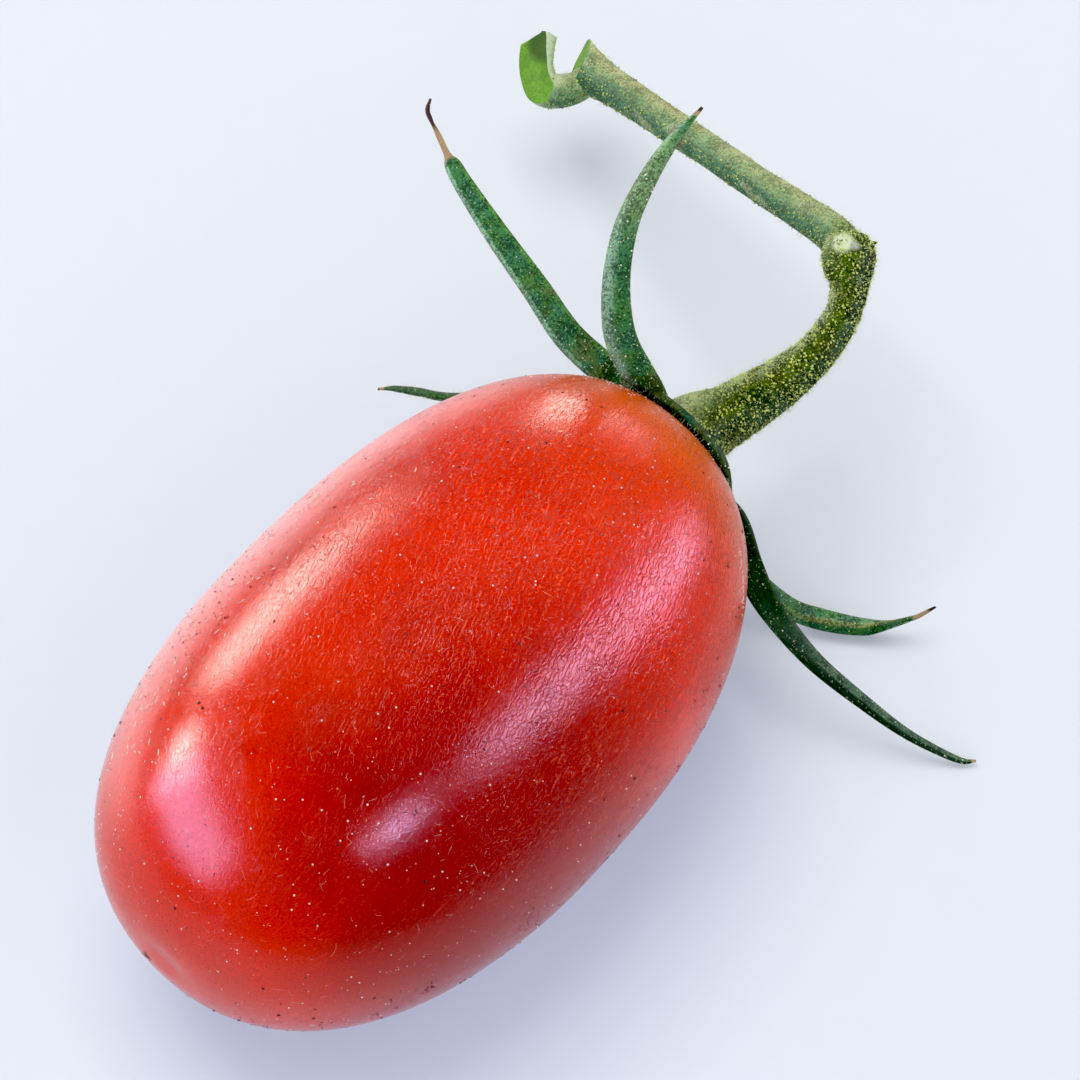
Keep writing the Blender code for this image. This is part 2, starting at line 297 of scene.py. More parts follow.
class SkinSettings(bpy.types.PropertyGroup):
    """Sizes and colours of the fruit"""

    length: length_property("Length", "From the blossom end to the stem end", 44.1995 * MM)
    diameter: length_property("Diameter", "Across the widest part", 27.0 * MM)
    squareness: share_property("Squareness", "How full the shoulders are, 2 for an ellipse", 2.34, 4)
    taper: share_property("Taper", "How much the stem end is slimmer", 0.021)
    bow: length_property("Bow", "How far the ends bend to one side", 0.57 * MM)
    sides: count_property("Sides", "Faces round the fruit", 256)
    steps: count_property("Steps", "Faces from end to end", 168)
    red: colour_property("Red", "The ripe skin", (0.82, 0.031, 0.005))
    # Painted shade and the skin's own darker red: it shades the lower front and the crinkles' cracks, and colours
    # dark grains.
    deep_red_and_shade: colour_property("Deep red", "The darker skin", (0.29, 0.010, 0.006))
    orange: colour_property("Orange", "The shoulder by the calyx", (0.90, 0.078, 0.010))
    amber: colour_property("Amber", "The skin round the calyx", (0.96, 0.23, 0.020))
    stroke: colour_property("Strokes", "Fine light strokes in the skin", (1.0, 0.145, 0.06))
    pale: colour_property("Pale dots", "Tiny pale dots in the skin", (0.90, 0.22, 0.07))
    bounce: colour_property("Bounce", "What the skin throws on the floor", (0.80, 0.72, 0.94))
    speck_count: count_property("Specks", "Dark specks of dirt on the skin", 1250)
    dust_count: count_property("Dust", "Pale grains of dust on the skin", 1500)
    lint_count: count_property("Lint", "Short fibres on the skin", 1500)
    speck: colour_property("Speck", "Dirt specks", (0.06, 0.016, 0.01))
    lint: colour_property("Lint colour", "Fibres", (1.0, 0.74, 0.58))
    dust: colour_property("Dust colour", "Grains of dust", (1.0, 0.80, 0.66))


class CalyxSettings(bpy.types.PropertyGroup):
    """Sizes and colours of the calyx"""

    thickness: length_property("Thickness", "Of a sepal along its middle", 0.5 * MM)
    edge: share_property("Edge", "A sepal's edge as a share of its thickness", 0.35)
    stations: count_property("Stations", "Faces along a sepal", 96)
    columns: count_property("Columns", "Faces across a sepal", 12)
    green: colour_property("Green", "The blade", (0.074, 0.235, 0.050))
    teal: colour_property("Teal", "The blade's bluish middle", (0.065, 0.215, 0.100))
    # Painted light: the pale colour of a sepal's lit flank and of the front sepal's lit upper half.
    painted_lit_side: colour_property("Mint", "The blade's pale flank", (0.34, 0.56, 0.34))
    root: colour_property("Root", "The blade's brownish root", (0.15, 0.19, 0.06))
    margin: colour_property("Margin", "The blade's light edge", (0.13, 0.32, 0.045))
    dry: colour_property("Dry", "A drying tip", (0.42, 0.27, 0.14))
    brown: colour_property("Brown", "A dead tip", (0.06, 0.028, 0.018))
    gland_count: count_property("Glands", "Pale gland dots on the calyx", 900)
    gland: colour_property("Gland", "Gland dots", (0.80, 0.86, 0.60))
    hair_count: count_property("Hairs", "Short hairs on the calyx", 2200)


class StalkSettings(bpy.types.PropertyGroup):
    """Sizes and colours of the stalk"""

    sides: count_property("Sides", "Faces round the stalk", 40)
    olive: colour_property("Olive", "The pedicel", (0.085, 0.145, 0.006))
    dark: colour_property("Dark", "The pedicel's dark blotches", (0.014, 0.030, 0.006))
    grey_green: colour_property("Grey green", "The straight stem", (0.30, 0.43, 0.19))
    # Painted light and shade: lime is painted on the pedicel's sides that face +Y and up, teal on the stem's sides
    # that face -X and dark teal on the pedicel's sides that face -Y.
    painted_light_lime: colour_property("Lime", "The pedicel's sunny side", (0.62, 0.72, 0.36))
    teal: colour_property("Teal", "The stem's cooler side", (0.045, 0.18, 0.095))
    painted_shade_teal: colour_property("Dark teal", "The pedicel's cooler side", (0.055, 0.10, 0.075))
    limb: colour_property("Limb", "The pale fresh skin by the cut end", (0.60, 0.70, 0.44))
    # Tan is partly dry streaks and partly painted light on the stem's sides that face +X.
    tan: colour_property("Tan", "Dry tints along the stem", (0.52, 0.52, 0.25))
    cut: colour_property("Cut", "The cut ends", (0.155, 0.37, 0.012))
    # Scar colours the stem's own pale patches, and on top of the knuckle it is a painted highlight.
    scar: colour_property("Scar", "The knuckle's pale scar", (0.62, 0.70, 0.43))
    gland_count: count_property("Glands", "Pale gland dots on the stalk", 5600)
    hair_count: count_property("Hairs", "Short hairs on the stalk", 9000)
    gland: colour_property("Gland", "Gland dots", (0.68, 0.72, 0.16))
    hair: colour_property("Hair", "Hairs", (0.80, 0.88, 0.42))


class StageSettings(bpy.types.PropertyGroup):
    """Colours and strengths of the stage"""

    floor: colour_property("Floor", "The pale floor", (0.742, 0.748, 0.77))
    # Painted light: a glow on the floor that only the skin's gloss shows.
    bright: colour_property("Bright", "The sunlit floor that the far side mirrors", (1.0, 0.80, 0.80))
    sky: colour_property("Sky", "The even light from all round", (0.80, 0.89, 1.0))
    black_level: share_property("Black level", "The darkest light that the picture shows", 0.026)
    sky_strength: share_property("Sky strength", "How strong the even light is", 0.62, 10)


class Wiring:
    """Adds shader nodes to a tree and joins them."""

    def __init__(self, tree):
        self.tree = tree

    def feed(self, socket, value):
        if isinstance(value, bpy.types.NodeSocket):
            self.tree.links.new(value, socket)
        else:
            socket.default_value = value

    def add(self, kind, inputs=None, **settings):
        node = self.tree.nodes.new("ShaderNode" + kind)
        for name, value in settings.items():
            setattr(node, name, value)
        for name, value in (inputs or {}).items():
            self.feed(node.inputs[name], value)
        return node

    def math(self, operation, first, second=0.0, clamp=False):
        node = self.add("Math", operation=operation, use_clamp=clamp)
        self.feed(node.inputs[0], first)
        self.feed(node.inputs[1], second)
        return node.outputs[0]

    def mix(self, factor, first, second, blend="MIX"):
        node = self.add("Mix", data_type="RGBA", blend_type=blend, clamp_factor=True)
        self.feed(node.inputs[0], factor)
        for socket, value in ((node.inputs[6], first), (node.inputs[7], second)):
            self.feed(socket, value if isinstance(value, bpy.types.NodeSocket) else (*value, 1))
        return node.outputs[2]

    def remap(self, value, low, high, to_low=0.0, to_high=1.0):
        node = self.add("MapRange", interpolation_type="SMOOTHSTEP")
        for name, given in (
            ("Value", value),
            ("From Min", low),
            ("From Max", high),
            ("To Min", to_low),
            ("To Max", to_high),
        ):
            self.feed(node.inputs[name], given)
        return node.outputs["Result"]

    def millimetres(self, scale=(1, 1, 1), offset=(0, 0, 0)):
        """The piece's own coordinates in millimetres, stretched by a scale."""
        place = self.add("TexCoord").outputs["Object"]
        mapping = self.add(
            "Mapping",
            {"Vector": place, "Location": offset, "Scale": [part / MM for part in scale]},
        )
        return mapping.outputs["Vector"]

    def noise(self, vector, scale, detail=2.0, roughness=0.5):
        node = self.add(
            "TexNoise",
            {"Vector": vector, "Scale": scale, "Detail": detail, "Roughness": roughness},
        )
        return node.outputs["Fac"]

    def near(self, vector, place, inner, outer):
        """1 within the inner distance of a place, 0 past the outer one, in millimetres."""
        node = self.add("VectorMath", operation="DISTANCE")
        self.feed(node.inputs[0], vector)
        self.feed(node.inputs[1], place)
        return self.remap(node.outputs["Value"], outer, inner)


def fine_fuzz_group():
    """Velvet of a green stem or leaf: pale dots, a soft mottle and a height for the bump."""
    tree = bpy.data.node_groups.new("fine_fuzz", "ShaderNodeTree")
    sockets = (
        ("Vector", "NodeSocketVector", None),
        ("Colour", "NodeSocketColor", (0.1, 0.2, 0.05, 1)),
        ("Dark", "NodeSocketColor", (0.03, 0.06, 0.02, 1)),
        ("Dot", "NodeSocketColor", (0.5, 0.5, 0.25, 1)),
        ("Dot size", "NodeSocketFloat", 0.2),
        ("Dot scale", "NodeSocketFloat", 3.0),
    )
    for label, kind, value in sockets:
        socket = tree.interface.new_socket(name=label, in_out="INPUT", socket_type=kind)
        if value is not None:
            socket.default_value = value
    tree.interface.new_socket(name="Colour", in_out="OUTPUT", socket_type="NodeSocketColor")
    tree.interface.new_socket(name="Height", in_out="OUTPUT", socket_type="NodeSocketFloat")
    wires = Wiring(tree)
    given = tree.nodes.new("NodeGroupInput").outputs
    result = tree.nodes.new("NodeGroupOutput").inputs
    blotches = wires.noise(given["Vector"], 1.0, 3.0)
    fine = wires.noise(given["Vector"], 7.0, 2.0, 0.65)
    shade = wires.math("ADD", wires.math("MULTIPLY", blotches, 0.35), wires.math("MULTIPLY", fine, 0.65))
    mottled = wires.mix(wires.remap(shade, 0.42, 0.57), given["Dark"], given["Colour"])
    cells = wires.add(
        "TexVoronoi", {"Vector": given["Vector"], "Scale": given["Dot scale"], "Randomness": 1.0}
    )
    drawn = wires.add("SeparateColor", {"Color": cells.outputs["Color"]}).outputs
    size = wires.math("MULTIPLY", given["Dot size"], wires.remap(drawn["Red"], 0.0, 1.0, 0.5, 1.25))
    dots = wires.remap(cells.outputs["Distance"], size, wires.math("MULTIPLY", size, 0.45))
    tint = wires.mix(wires.remap(drawn["Green"], 0.0, 0.7, 0.25), given["Colour"], given["Dot"])
    tint = wires.mix(wires.remap(drawn["Blue"], 0.75, 0.9, 0.0, 0.5), tint, (0.40, 0.24, 0.10))
    wires.feed(result["Colour"], wires.mix(dots, mottled, tint))
    height = wires.math("ADD", wires.math("MULTIPLY", dots, 0.7), wires.math("MULTIPLY", fine, 0.3))
    wires.feed(result["Height"], height)
    return tree


def new_material(name):
    """A material with its wiring and its shader."""
    material = bpy.data.materials.new(name)
    material.use_nodes = True
    wires = Wiring(material.node_tree)
    return material, wires, material.node_tree.nodes["Principled BSDF"]


def set_shader(shader, **values):
    """Set the shader's plain values, with _ for the space in a socket's name."""
    for name, value in values.items():
        shader.inputs[name.replace("_", " ")].default_value = value


def add_bump(wires, shader, height, strength, distance):
    """Feed a height through a Bump node to the shader's normal."""
    bump = wires.add("Bump", {"Height": height, "Strength": strength, "Distance": distance})
    wires.feed(shader.inputs["Normal"], bump.outputs["Normal"])


def skin_material(given):
    """Ripe skin: red with orange shoulders, fine crinkles along the axis and tiny pale dots, with painted shade on
    the lower front and in the crinkles' cracks.
    """
    material, wires, shader = new_material("ripe_skin")
    place = wires.millimetres()
    split = wires.add("SeparateXYZ", {"Vector": place}).outputs
    height = wires.math("SUBTRACT", split["Z"], AXIS_HEIGHT / MM)
    arc = wires.math("MULTIPLY", wires.math("ARCTAN2", split["Y"], height), 13.0)
    warp = wires.math("SUBTRACT", wires.noise(place, 0.7, 3.0, 0.6), 0.5)

    def flow(stretch, wander):
        """Coordinates along and round the skin, stretched along it and made to wander."""
        lines = wires.add("CombineXYZ")
        along = wires.math("MULTIPLY", split["X"], stretch)
        wires.feed(lines.inputs["X"], wires.math("ADD", along, wires.math("MULTIPLY", warp, wander)))
        wires.feed(lines.inputs["Y"], wires.math("ADD", arc, wires.math("MULTIPLY", warp, wander)))
        return lines.outputs[0]

    # Painted shade: a broad patch of the lower front and the side facing -Y towards the blossom end are painted
    # deep red, as if shaded; the mottle is the skin's own uneven red.
    painted_shade_front = wires.near(place, (-8.0, -9.5, 20.0), 2.0, 18.0)
    mottle = wires.remap(wires.noise(place, 0.14, 4.0, 0.55), 0.35, 0.75, 0.0, 0.28)
    colour = wires.mix(
        wires.math("ADD", wires.math("MULTIPLY", painted_shade_front, 0.95), mottle, clamp=True),
        given.red,
        given.deep_red_and_shade,
    )
    painted_shade_underside = wires.remap(split["Y"], -5.0, -12.5, 0.0, 0.7)
    painted_shade_underside = wires.math("MULTIPLY", painted_shade_underside, wires.remap(split["X"], 8.0, -4.0))
    colour = wires.mix(painted_shade_underside, colour, given.deep_red_and_shade)
    shoulder = wires.remap(split["X"], 7.0, 22.0, 0.0, 0.9)
    colour = wires.mix(shoulder, colour, given.orange)
    colour = wires.mix(wires.remap(split["X"], 14.0, 21.0, 0.0, 0.5), colour, given.amber)
    stem_half = wires.remap(split["X"], -14.0, 12.0, 0.12, 1.0)
    patchy = wires.remap(wires.noise(place, 0.2, 2.0), 0.35, 0.62, 0.5, 1.0)
    crinkled = wires.math("MULTIPLY", stem_half, patchy)
    cells = wires.add(
        "TexVoronoi",
        {"Vector": flow(0.36, 1.6), "Scale": 4.9, "Randomness": 1.0},
        feature="DISTANCE_TO_EDGE",
        voronoi_dimensions="2D",
    )
    crack = wires.remap(cells.outputs["Distance"], 0.0, 0.08)
    fine = wires.noise(flow(0.30, 1.0), 6.4, 2.0, 0.55)
    grain = wires.noise(place, 8.0, 2.0, 0.65)
    strokes = wires.remap(wires.noise(flow(0.34, 2.4), 6.5, 1.0), 0.59, 0.66)
    # Painted shade: the crinkles' cracks are painted deep red, as if shaded, and are also made rougher.
    crack_shade = wires.math("MULTIPLY", wires.remap(crack, 0.8, 0.1, 0.0, 0.85), crinkled)
    colour = wires.mix(crack_shade, colour, given.deep_red_and_shade)
    seen = wires.math("MULTIPLY", strokes, wires.remap(crinkled, 0.0, 1.0, 0.10, 0.60))
    colour = wires.mix(seen, colour, given.stroke)
    colour = wires.mix(wires.remap(grain, 0.58, 0.72, 0.0, 0.16), colour, given.stroke)
    colour = wires.mix(wires.remap(grain, 0.46, 0.34, 0.0, 0.62), colour, given.deep_red_and_shade)
    freckles = wires.add("TexVoronoi", {"Vector": place, "Scale": 0.95, "Randomness": 1.0})
    dots = wires.remap(freckles.outputs["Distance"], 0.075, 0.045, 0.0, 0.5)
    colour = wires.mix(dots, colour, given.pale)
    bounced = wires.add("LightPath").outputs["Is Diffuse Ray"]
    wires.feed(shader.inputs["Base Color"], wires.mix(bounced, colour, given.bounce))
    folds = wires.math("MULTIPLY", wires.math("ADD", crack, wires.math("MULTIPLY", fine, 0.9)), crinkled)
    relief = wires.math("ADD", folds, wires.math("MULTIPLY", grain, 0.34))
    add_bump(wires, shader, relief, 1.0, 0.038 * MM)
    gloss = wires.remap(split["X"], -16.0, 12.0, 0.13, 0.19)
    dull = wires.math("MULTIPLY", crack_shade, 0.24)
    wires.feed(shader.inputs["Roughness"], wires.math("ADD", gloss, dull))
    set_shader(shader, IOR=1.48)
    return material


def leaf_material(given, fuzz, dot_colour):
    """A sepal: teal and green with light edges and painted light and shade, and a dried tip where its attribute
    says.
    """
    material, wires, shader = new_material("sepal_blade")
    place = wires.millimetres()
    across = wires.add("UVMap", uv_map="blade").outputs["UV"]
    split = wires.add("SeparateXYZ", {"Vector": across}).outputs
    from_middle = wires.math("ABSOLUTE", wires.math("SUBTRACT", split["X"], 0.5))
    blue = wires.remap(wires.noise(place, 0.8, 4.0, 0.7), 0.35, 0.65)
    blade = wires.mix(blue, given.green, given.teal)
    uneven = wires.math("MULTIPLY", wires.math("SUBTRACT", wires.noise(place, 1.6), 0.5), 0.16)
    shifted = wires.math("ADD", split["X"], uneven)
    blade = wires.mix(wires.remap(shifted, 0.86, 0.95, 0.0, 0.6), blade, given.margin)
    # Painted light: a share of the blade's width along one side, given per sepal, is painted pale as if lit, most
    # on the upright sepal.
    flank = wires.math("ADD", wires.add("Attribute", attribute_name="flank").outputs["Fac"], 0.01)
    painted_lit_side = wires.remap(shifted, flank, wires.math("MULTIPLY", flank, 0.45), 0.0, 0.85)
    blade = wires.mix(painted_lit_side, blade, given.painted_lit_side)
    light_end = wires.near(place, (26.6, 6.8, 29.4), 0.8, 4.5)
    blade = wires.mix(wires.math("MULTIPLY", light_end, 0.6), blade, (0.30, 0.42, 0.17))
    ridge = wires.math("MULTIPLY", wires.near(place, (25.0, -11.6, 1.2), 2.0, 6.0), 0.8)
    ridge = wires.math("MULTIPLY", ridge, wires.remap(from_middle, 0.16, 0.05))
    blade = wires.mix(ridge, blade, (0.36, 0.36, 0.13))
    # Painted light and shade on the front sepal's folded arm: its upper half is painted pale as if lit, and its
    # lower half dark as if shaded.
    arm = wires.near(place, (20.6, -17.6, 2.8), 5.0, 9.5)
    painted_lit_half = wires.math("MULTIPLY", arm, wires.remap(shifted, 0.50, 0.60, 0.0, 0.8))
    blade = wires.mix(painted_lit_half, blade, given.painted_lit_side)
    painted_shaded_half = wires.math("MULTIPLY", arm, wires.remap(shifted, 0.50, 0.38, 0.0, 0.8))
    blade = wires.mix(painted_shaded_half, blade, (0.015, 0.05, 0.012))
    blade = wires.mix(wires.remap(from_middle, 0.05, 0.0, 0.0, 0.3), blade, given.margin)
    root = wires.remap(wires.math("ADD", split["Y"], wires.noise(place, 0.8)), 0.72, 0.52, 0.0, 0.8)
    blade = wires.mix(root, blade, given.root)
    # Painted shade: a vertex attribute from 0 to 1 darkens the blade towards black where it is low, most on the
    # front sepal and the one behind it.
    unshaded = wires.add("Attribute", attribute_name="unshaded").outputs["Fac"]
    blade = wires.mix(unshaded, wires.mix(0.88, blade, (0.005, 0.012, 0.002)), blade)
    dark = wires.mix(0.70, blade, (0.006, 0.020, 0.005))
    group = wires.add("Group", node_tree=fuzz)
    for name, value in (("Vector", place), ("Colour", blade), ("Dark", dark)):
        wires.feed(group.inputs[name], value)
    wires.feed(group.inputs["Dot"], wires.mix(0.35, blade, dot_colour))
    wires.feed(group.inputs["Dot size"], 0.26)
    wires.feed(group.inputs["Dot scale"], 4.2)
    dryness = wires.add("Attribute", attribute_name="dry").outputs["Fac"]
    uneven = wires.math("ADD", dryness, wires.math("MULTIPLY", wires.noise(place, 1.6), 0.3))
    colour = wires.mix(wires.remap(uneven, 0.25, 0.45), group.outputs["Colour"], given.dry)
    colour = wires.mix(wires.remap(uneven, 0.85, 1.1), colour, given.brown)
    wires.feed(shader.inputs["Base Color"], colour)
    add_bump(wires, shader, group.outputs["Height"], 0.8, 0.05 * MM)
    set_shader(shader, Roughness=0.55, Specular_IOR_Level=0.2)
    return material


def stem_material(given, fuzz):
    """The stalk: dark olive pedicel, grey-green stem with tan tints, light and shade painted on by the way each
    side faces, and the knuckle's scars, beside a painted highlight on its top.
    """
    material, wires, shader = new_material("stalk_skin")
    coordinates = wires.add("TexCoord").outputs
    place = wires.millimetres()
    split = wires.add("SeparateXYZ", {"Vector": place}).outputs
    facing = wires.add("SeparateXYZ", {"Vector": coordinates["Normal"]}).outputs
    # Painted light and shade on the stem: sides facing +X are painted towards tan, mixed with dry streaks, and
    # sides facing -X are painted teal as if shaded.
    streaks = wires.noise(wires.millimetres((0.6, 0.22, 0.6)), 1.6, 3.0, 0.55)
    sunny = wires.math("ADD", wires.math("MULTIPLY", facing["X"], 0.28), streaks)
    stem = wires.mix(wires.remap(sunny, 0.42, 0.72), given.grey_green, given.tan)
    stem = wires.mix(wires.remap(facing["X"], -0.15, -0.75, 0.0, 0.8), stem, given.teal)
    pale = wires.remap(wires.noise(wires.millimetres((0.8, 0.35, 0.8)), 0.9, 2.0), 0.60, 0.68, 0.0, 0.55)
    stem = wires.mix(pale, stem, given.scar)
    # Painted light and shade on the pedicel: dark teal on sides facing -Y, and lime on sides facing +Y and up, as
    # if lit.
    pedicel = wires.mix(wires.remap(facing["Y"], -0.2, -0.85, 0.0, 0.75), given.olive, given.painted_shade_teal)
    brown = wires.remap(wires.noise(place, 0.35, 2.0), 0.48, 0.62, 0.0, 0.5)
    pedicel = wires.mix(brown, pedicel, (0.09, 0.07, 0.012))
    sunlit = wires.math("ADD", wires.math("MULTIPLY", facing["Y"], 0.9), wires.math("MULTIPLY", facing["Z"], 0.25))
    pedicel = wires.mix(wires.remap(sunlit, 0.40, 0.90, 0.0, 0.9), pedicel, given.painted_light_lime)
    past_knuckle = wires.remap(split["Y"], -1.2, 1.4)
    colour = wires.mix(past_knuckle, pedicel, stem)
    dark = wires.mix(past_knuckle, given.dark, wires.mix(0.58, stem, given.dark))
    group = wires.add("Group", node_tree=fuzz)
    for name, value in (("Vector", place), ("Colour", colour), ("Dark", dark)):
        wires.feed(group.inputs[name], value)
    quiet = wires.mix(0.6, given.gland, given.grey_green)
    wires.feed(group.inputs["Dot"], wires.mix(past_knuckle, given.gland, quiet))
    wires.feed(group.inputs["Dot size"], 0.36)
    wires.feed(group.inputs["Dot scale"], 4.4)
    colour = group.outputs["Colour"]
    fresh = wires.remap(split["Y"], 23.8, 25.8, 0.0, 0.9)
    colour = wires.mix(fresh, colour, given.limb)
    # Spots on the stalk: the pale spot and its grey-white core on top of the knuckle are a painted highlight; the
    # two brown spots are the stalk's own marks.
    for where, inner, outer, tint in (
        ((35.73, -0.85, 20.0), 0.45, 0.85, given.scar),
        ((35.95, -1.5, 20.05), 0.20, 0.45, (0.42, 0.44, 0.38)),
        ((35.0, 0.6, 19.0), 0.30, 0.80, (0.16, 0.09, 0.035)),
        ((39.0, 14.6, 13.0), 0.3, 1.1, (0.16, 0.10, 0.04)),
    ):
        colour = wires.mix(wires.near(place, where, inner, outer), colour, tint)
    wires.feed(shader.inputs["Base Color"], colour)
    add_bump(wires, shader, group.outputs["Height"], 0.9, 0.07 * MM)
    set_shader(shader, Roughness=0.6, Specular_IOR_Level=0.15)
    return material


def cut_material(given, fuzz):
    """A cut end: moist bright green, with painted shade near one edge of the limb's end."""
    material, wires, shader = new_material("cut_stem")
    place = wires.millimetres()
    shaded = wires.near(place, (41.2, 26.8, 9.7), 0.9, 1.7)
    fresh = wires.mix(shaded, given.cut, [part * 0.35 for part in given.cut])
    group = wires.add("Group", node_tree=fuzz)
    for name, value in (("Vector", place), ("Colour", fresh), ("Dot", fresh)):
        wires.feed(group.inputs[name], value)
    wires.feed(group.inputs["Dark"], wires.mix(0.4, fresh, (0.02, 0.08, 0.002)))
    wires.feed(shader.inputs["Base Color"], group.outputs["Colour"])
    add_bump(wires, shader, group.outputs["Height"], 0.5, 0.06 * MM)
    set_shader(shader, Roughness=0.6, Specular_IOR_Level=0.2)
    return material


def grain_material(name, colour, roughness, spread):
    """Tiny things such as lint or dirt, whose colour varies from one to the next."""
    material, wires, shader = new_material(name)
    place = wires.millimetres()
    varied = wires.remap(wires.noise(place, 1.1, 1.0), 0.3, 0.7)
    darker = [part * (1 - spread) for part in colour]
    wires.feed(shader.inputs["Base Color"], wires.mix(varied, darker, colour))
    set_shader(shader, Roughness=roughness)
    return material


def new_piece(name, bm, materials, replaced=None, smooth=True):
    """Make the mesh a piece that rides on the fruit's body."""
    mesh = bpy.data.meshes.new(name)
    bm.to_mesh(mesh)
    bm.free()
    for material in materials:
        mesh.materials.append(material)
    if smooth:
        mesh.shade_smooth()
    piece = bpy.data.objects.new(name, mesh)
    bpy.context.scene.collection.objects.link(piece)
    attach(piece, BODY)
    if replaced:
        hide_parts(replaced)
    return piece


def smooth_route(points, stations):
    """Rows on a smooth curve through the points, evenly numbered from the first to the last."""
    rows = [Vector(point) for point in points]
    rows.insert(0, rows[0] * 2 - rows[1])
    rows.append(rows[-1] * 2 - rows[-2])
    route = []
    for station in range(stations):
        place = station / (stations - 1) * (len(points) - 1)
        index = min(int(place), len(points) - 2)
        part = place - index
        before, start, end, after = rows[index : index + 4]
        route.append(
            start
            + (end - before) * (part / 2)
            + (before * 2 - start * 5 + end * 4 - after) * (part**2 / 2)
            + (start * 3 - before - end * 3 + after) * (part**3 / 2)
        )
    return route


def directions(route):
    """The way the route runs at each of its rows."""
    last = len(route) - 1
    return [
        (route[min(index + 1, last)].xyz - route[max(index - 1, 0)].xyz).normalized()
        for index in range(len(route))
    ]


def eased(share):
    """A share from 0 to 1 that starts and ends slowly."""
    share = max(0, min(1, share))
    return share * share * (3 - 2 * share)


def fruit_profile(given, turn):
    """Distance along the axis and from it, in millimetres. Turn 0 is the stem end."""
    power = 2 / given.squareness
    along = math.copysign(abs(math.cos(turn)) ** power, math.cos(turn))
    radius = given.diameter / 2 / MM * math.sin(turn) ** power * (1 - given.taper * along)
    x = given.length / 2 / MM * along
    if along > 0:
        x -= STEM_HOLLOW_DEPTH * math.exp(-((radius / STEM_HOLLOW_RADIUS) ** 2))
    else:
        x += SCAR_HOLLOW_DEPTH * math.exp(-((radius / SCAR_HOLLOW_RADIUS) ** 2))
    return x, radius


def shoulder_x(given, radius):
    """Where the fruit's profile is along the axis, at a distance from the axis by the stem."""
    low, high = 0, math.pi / 2
    for _ in range(30):
        middle = (low + high) / 2
        if fruit_profile(given, middle)[1] < radius:
            low = middle
        else:
            high = middle
    return fruit_profile(given, low)[0]


def skin_swell(x, angle):
    """How the skin departs from a plain round at a place along and round the axis."""
    swell = 1 + 0.006 * math.cos(3 * (angle - math.radians(25)))
    spot = Vector((x * 0.11, math.cos(angle) * 1.3, math.sin(angle) * 1.3))
    swell += 0.0035 * noise.noise(spot * 1.6)
    return swell


def place_on_fruit(given, co):
    """Move a point from the straight round body, in millimetres, to the bowed fruit in metres."""
    angle = math.atan2(co.z, co.y)
    swell = skin_swell(co.x, angle)
    bow = given.bow * (co.x / (given.length / 2 / MM)) ** 2
    height = max(0, co.z * swell * MM + AXIS_HEIGHT)
    return Vector((co.x * MM, co.y * swell * MM + bow, height))


def skin_point(given, turn, angle):
    """A point on the skin and the way out of it."""

    def at(turn, angle):
        x, radius = fruit_profile(given, turn)
        return place_on_fruit(given, Vector((x, radius * math.cos(angle), radius * math.sin(angle))))

    step = 0.01
    point = at(turn, angle)
    down = at(turn + step, angle) - at(turn - step, angle)
    round_axis = at(turn, angle + step) - at(turn, angle - step)
    return point, round_axis.cross(down).normalized(), down.normalized()


def spin_profile(bm, profile, sides):
    """A body turned round the X axis from a profile that starts and ends on the axis."""
    verts = [bm.verts.new((x, radius, 0)) for x, radius in profile]
    edges = [bm.edges.new(pair) for pair in zip(verts, verts[1:])]
    bmesh.ops.spin(
        bm,
        geom=verts + edges,
        cent=(0, 0, 0),
        axis=(1, 0, 0),
        angle=math.tau,
        steps=sides,
        use_merge=True,
    )
    bmesh.ops.remove_doubles(bm, verts=bm.verts, dist=0.002)
    bmesh.ops.recalc_face_normals(bm, faces=bm.faces)


class TOMATO_OT_skin(bpy.types.Operator):
    """Build the fruit's skin in place of its plain solid"""

    bl_idname = "tomato.skin"
    bl_label = "Build Skin"

    def execute(self, context):
        given = context.scene.tomato_skin
        bm = bmesh.new()
        turns = [math.pi * step / given.steps for step in range(given.steps + 1)]
        profile = [fruit_profile(given, turn) for turn in turns]
        profile[0] = (profile[0][0], 0)
        profile[-1] = (profile[-1][0], 0)
        spin_profile(bm, profile, given.sides)
        for vert in bm.verts:
            vert.co = place_on_fruit(given, vert.co)
        new_piece("fruit_skin", bm, [skin_material(given)], "fruit")
        return {"FINISHED"}


def merge_batches(makers):
    """One mesh from many small shapes, made a batch at a time because big batches are slow."""
    whole = bmesh.new()
    for maker in makers:
        batch = bmesh.new()
        maker(batch)
        mesh = bpy.data.meshes.new("batch")
        batch.to_mesh(mesh)
        batch.free()
        whole.from_mesh(mesh)
        bpy.data.meshes.remove(mesh)
    return whole


def scatter_shapes(places, add_shape, batch_size=80):
    """One mesh of a small shape at each place."""

    def maker(group):
        def fill(bm):
            for place in group:
                add_shape(bm, *place)

        return fill

    starts = range(0, len(places), batch_size)
    return merge_batches([maker(places[start : start + batch_size]) for start in starts])


def standing_matrix(point, normal, spin=0.0, sizes=(1, 1, 1)):
    """Place a shape at a point with its Z axis along the normal."""
    turn = normal.to_track_quat("Z", "Y").to_matrix().to_4x4()
    return Matrix.Translation(point) @ turn @ Matrix.Rotation(spin, 4, "Z") @ Matrix.Diagonal((*sizes, 1))


def add_grain(bm, point, normal, spin, sizes):
    """A flattened grain that sits on the skin."""
    matrix = standing_matrix(point, normal, spin, sizes)
    bmesh.ops.create_icosphere(bm, subdivisions=1, radius=1, matrix=matrix)


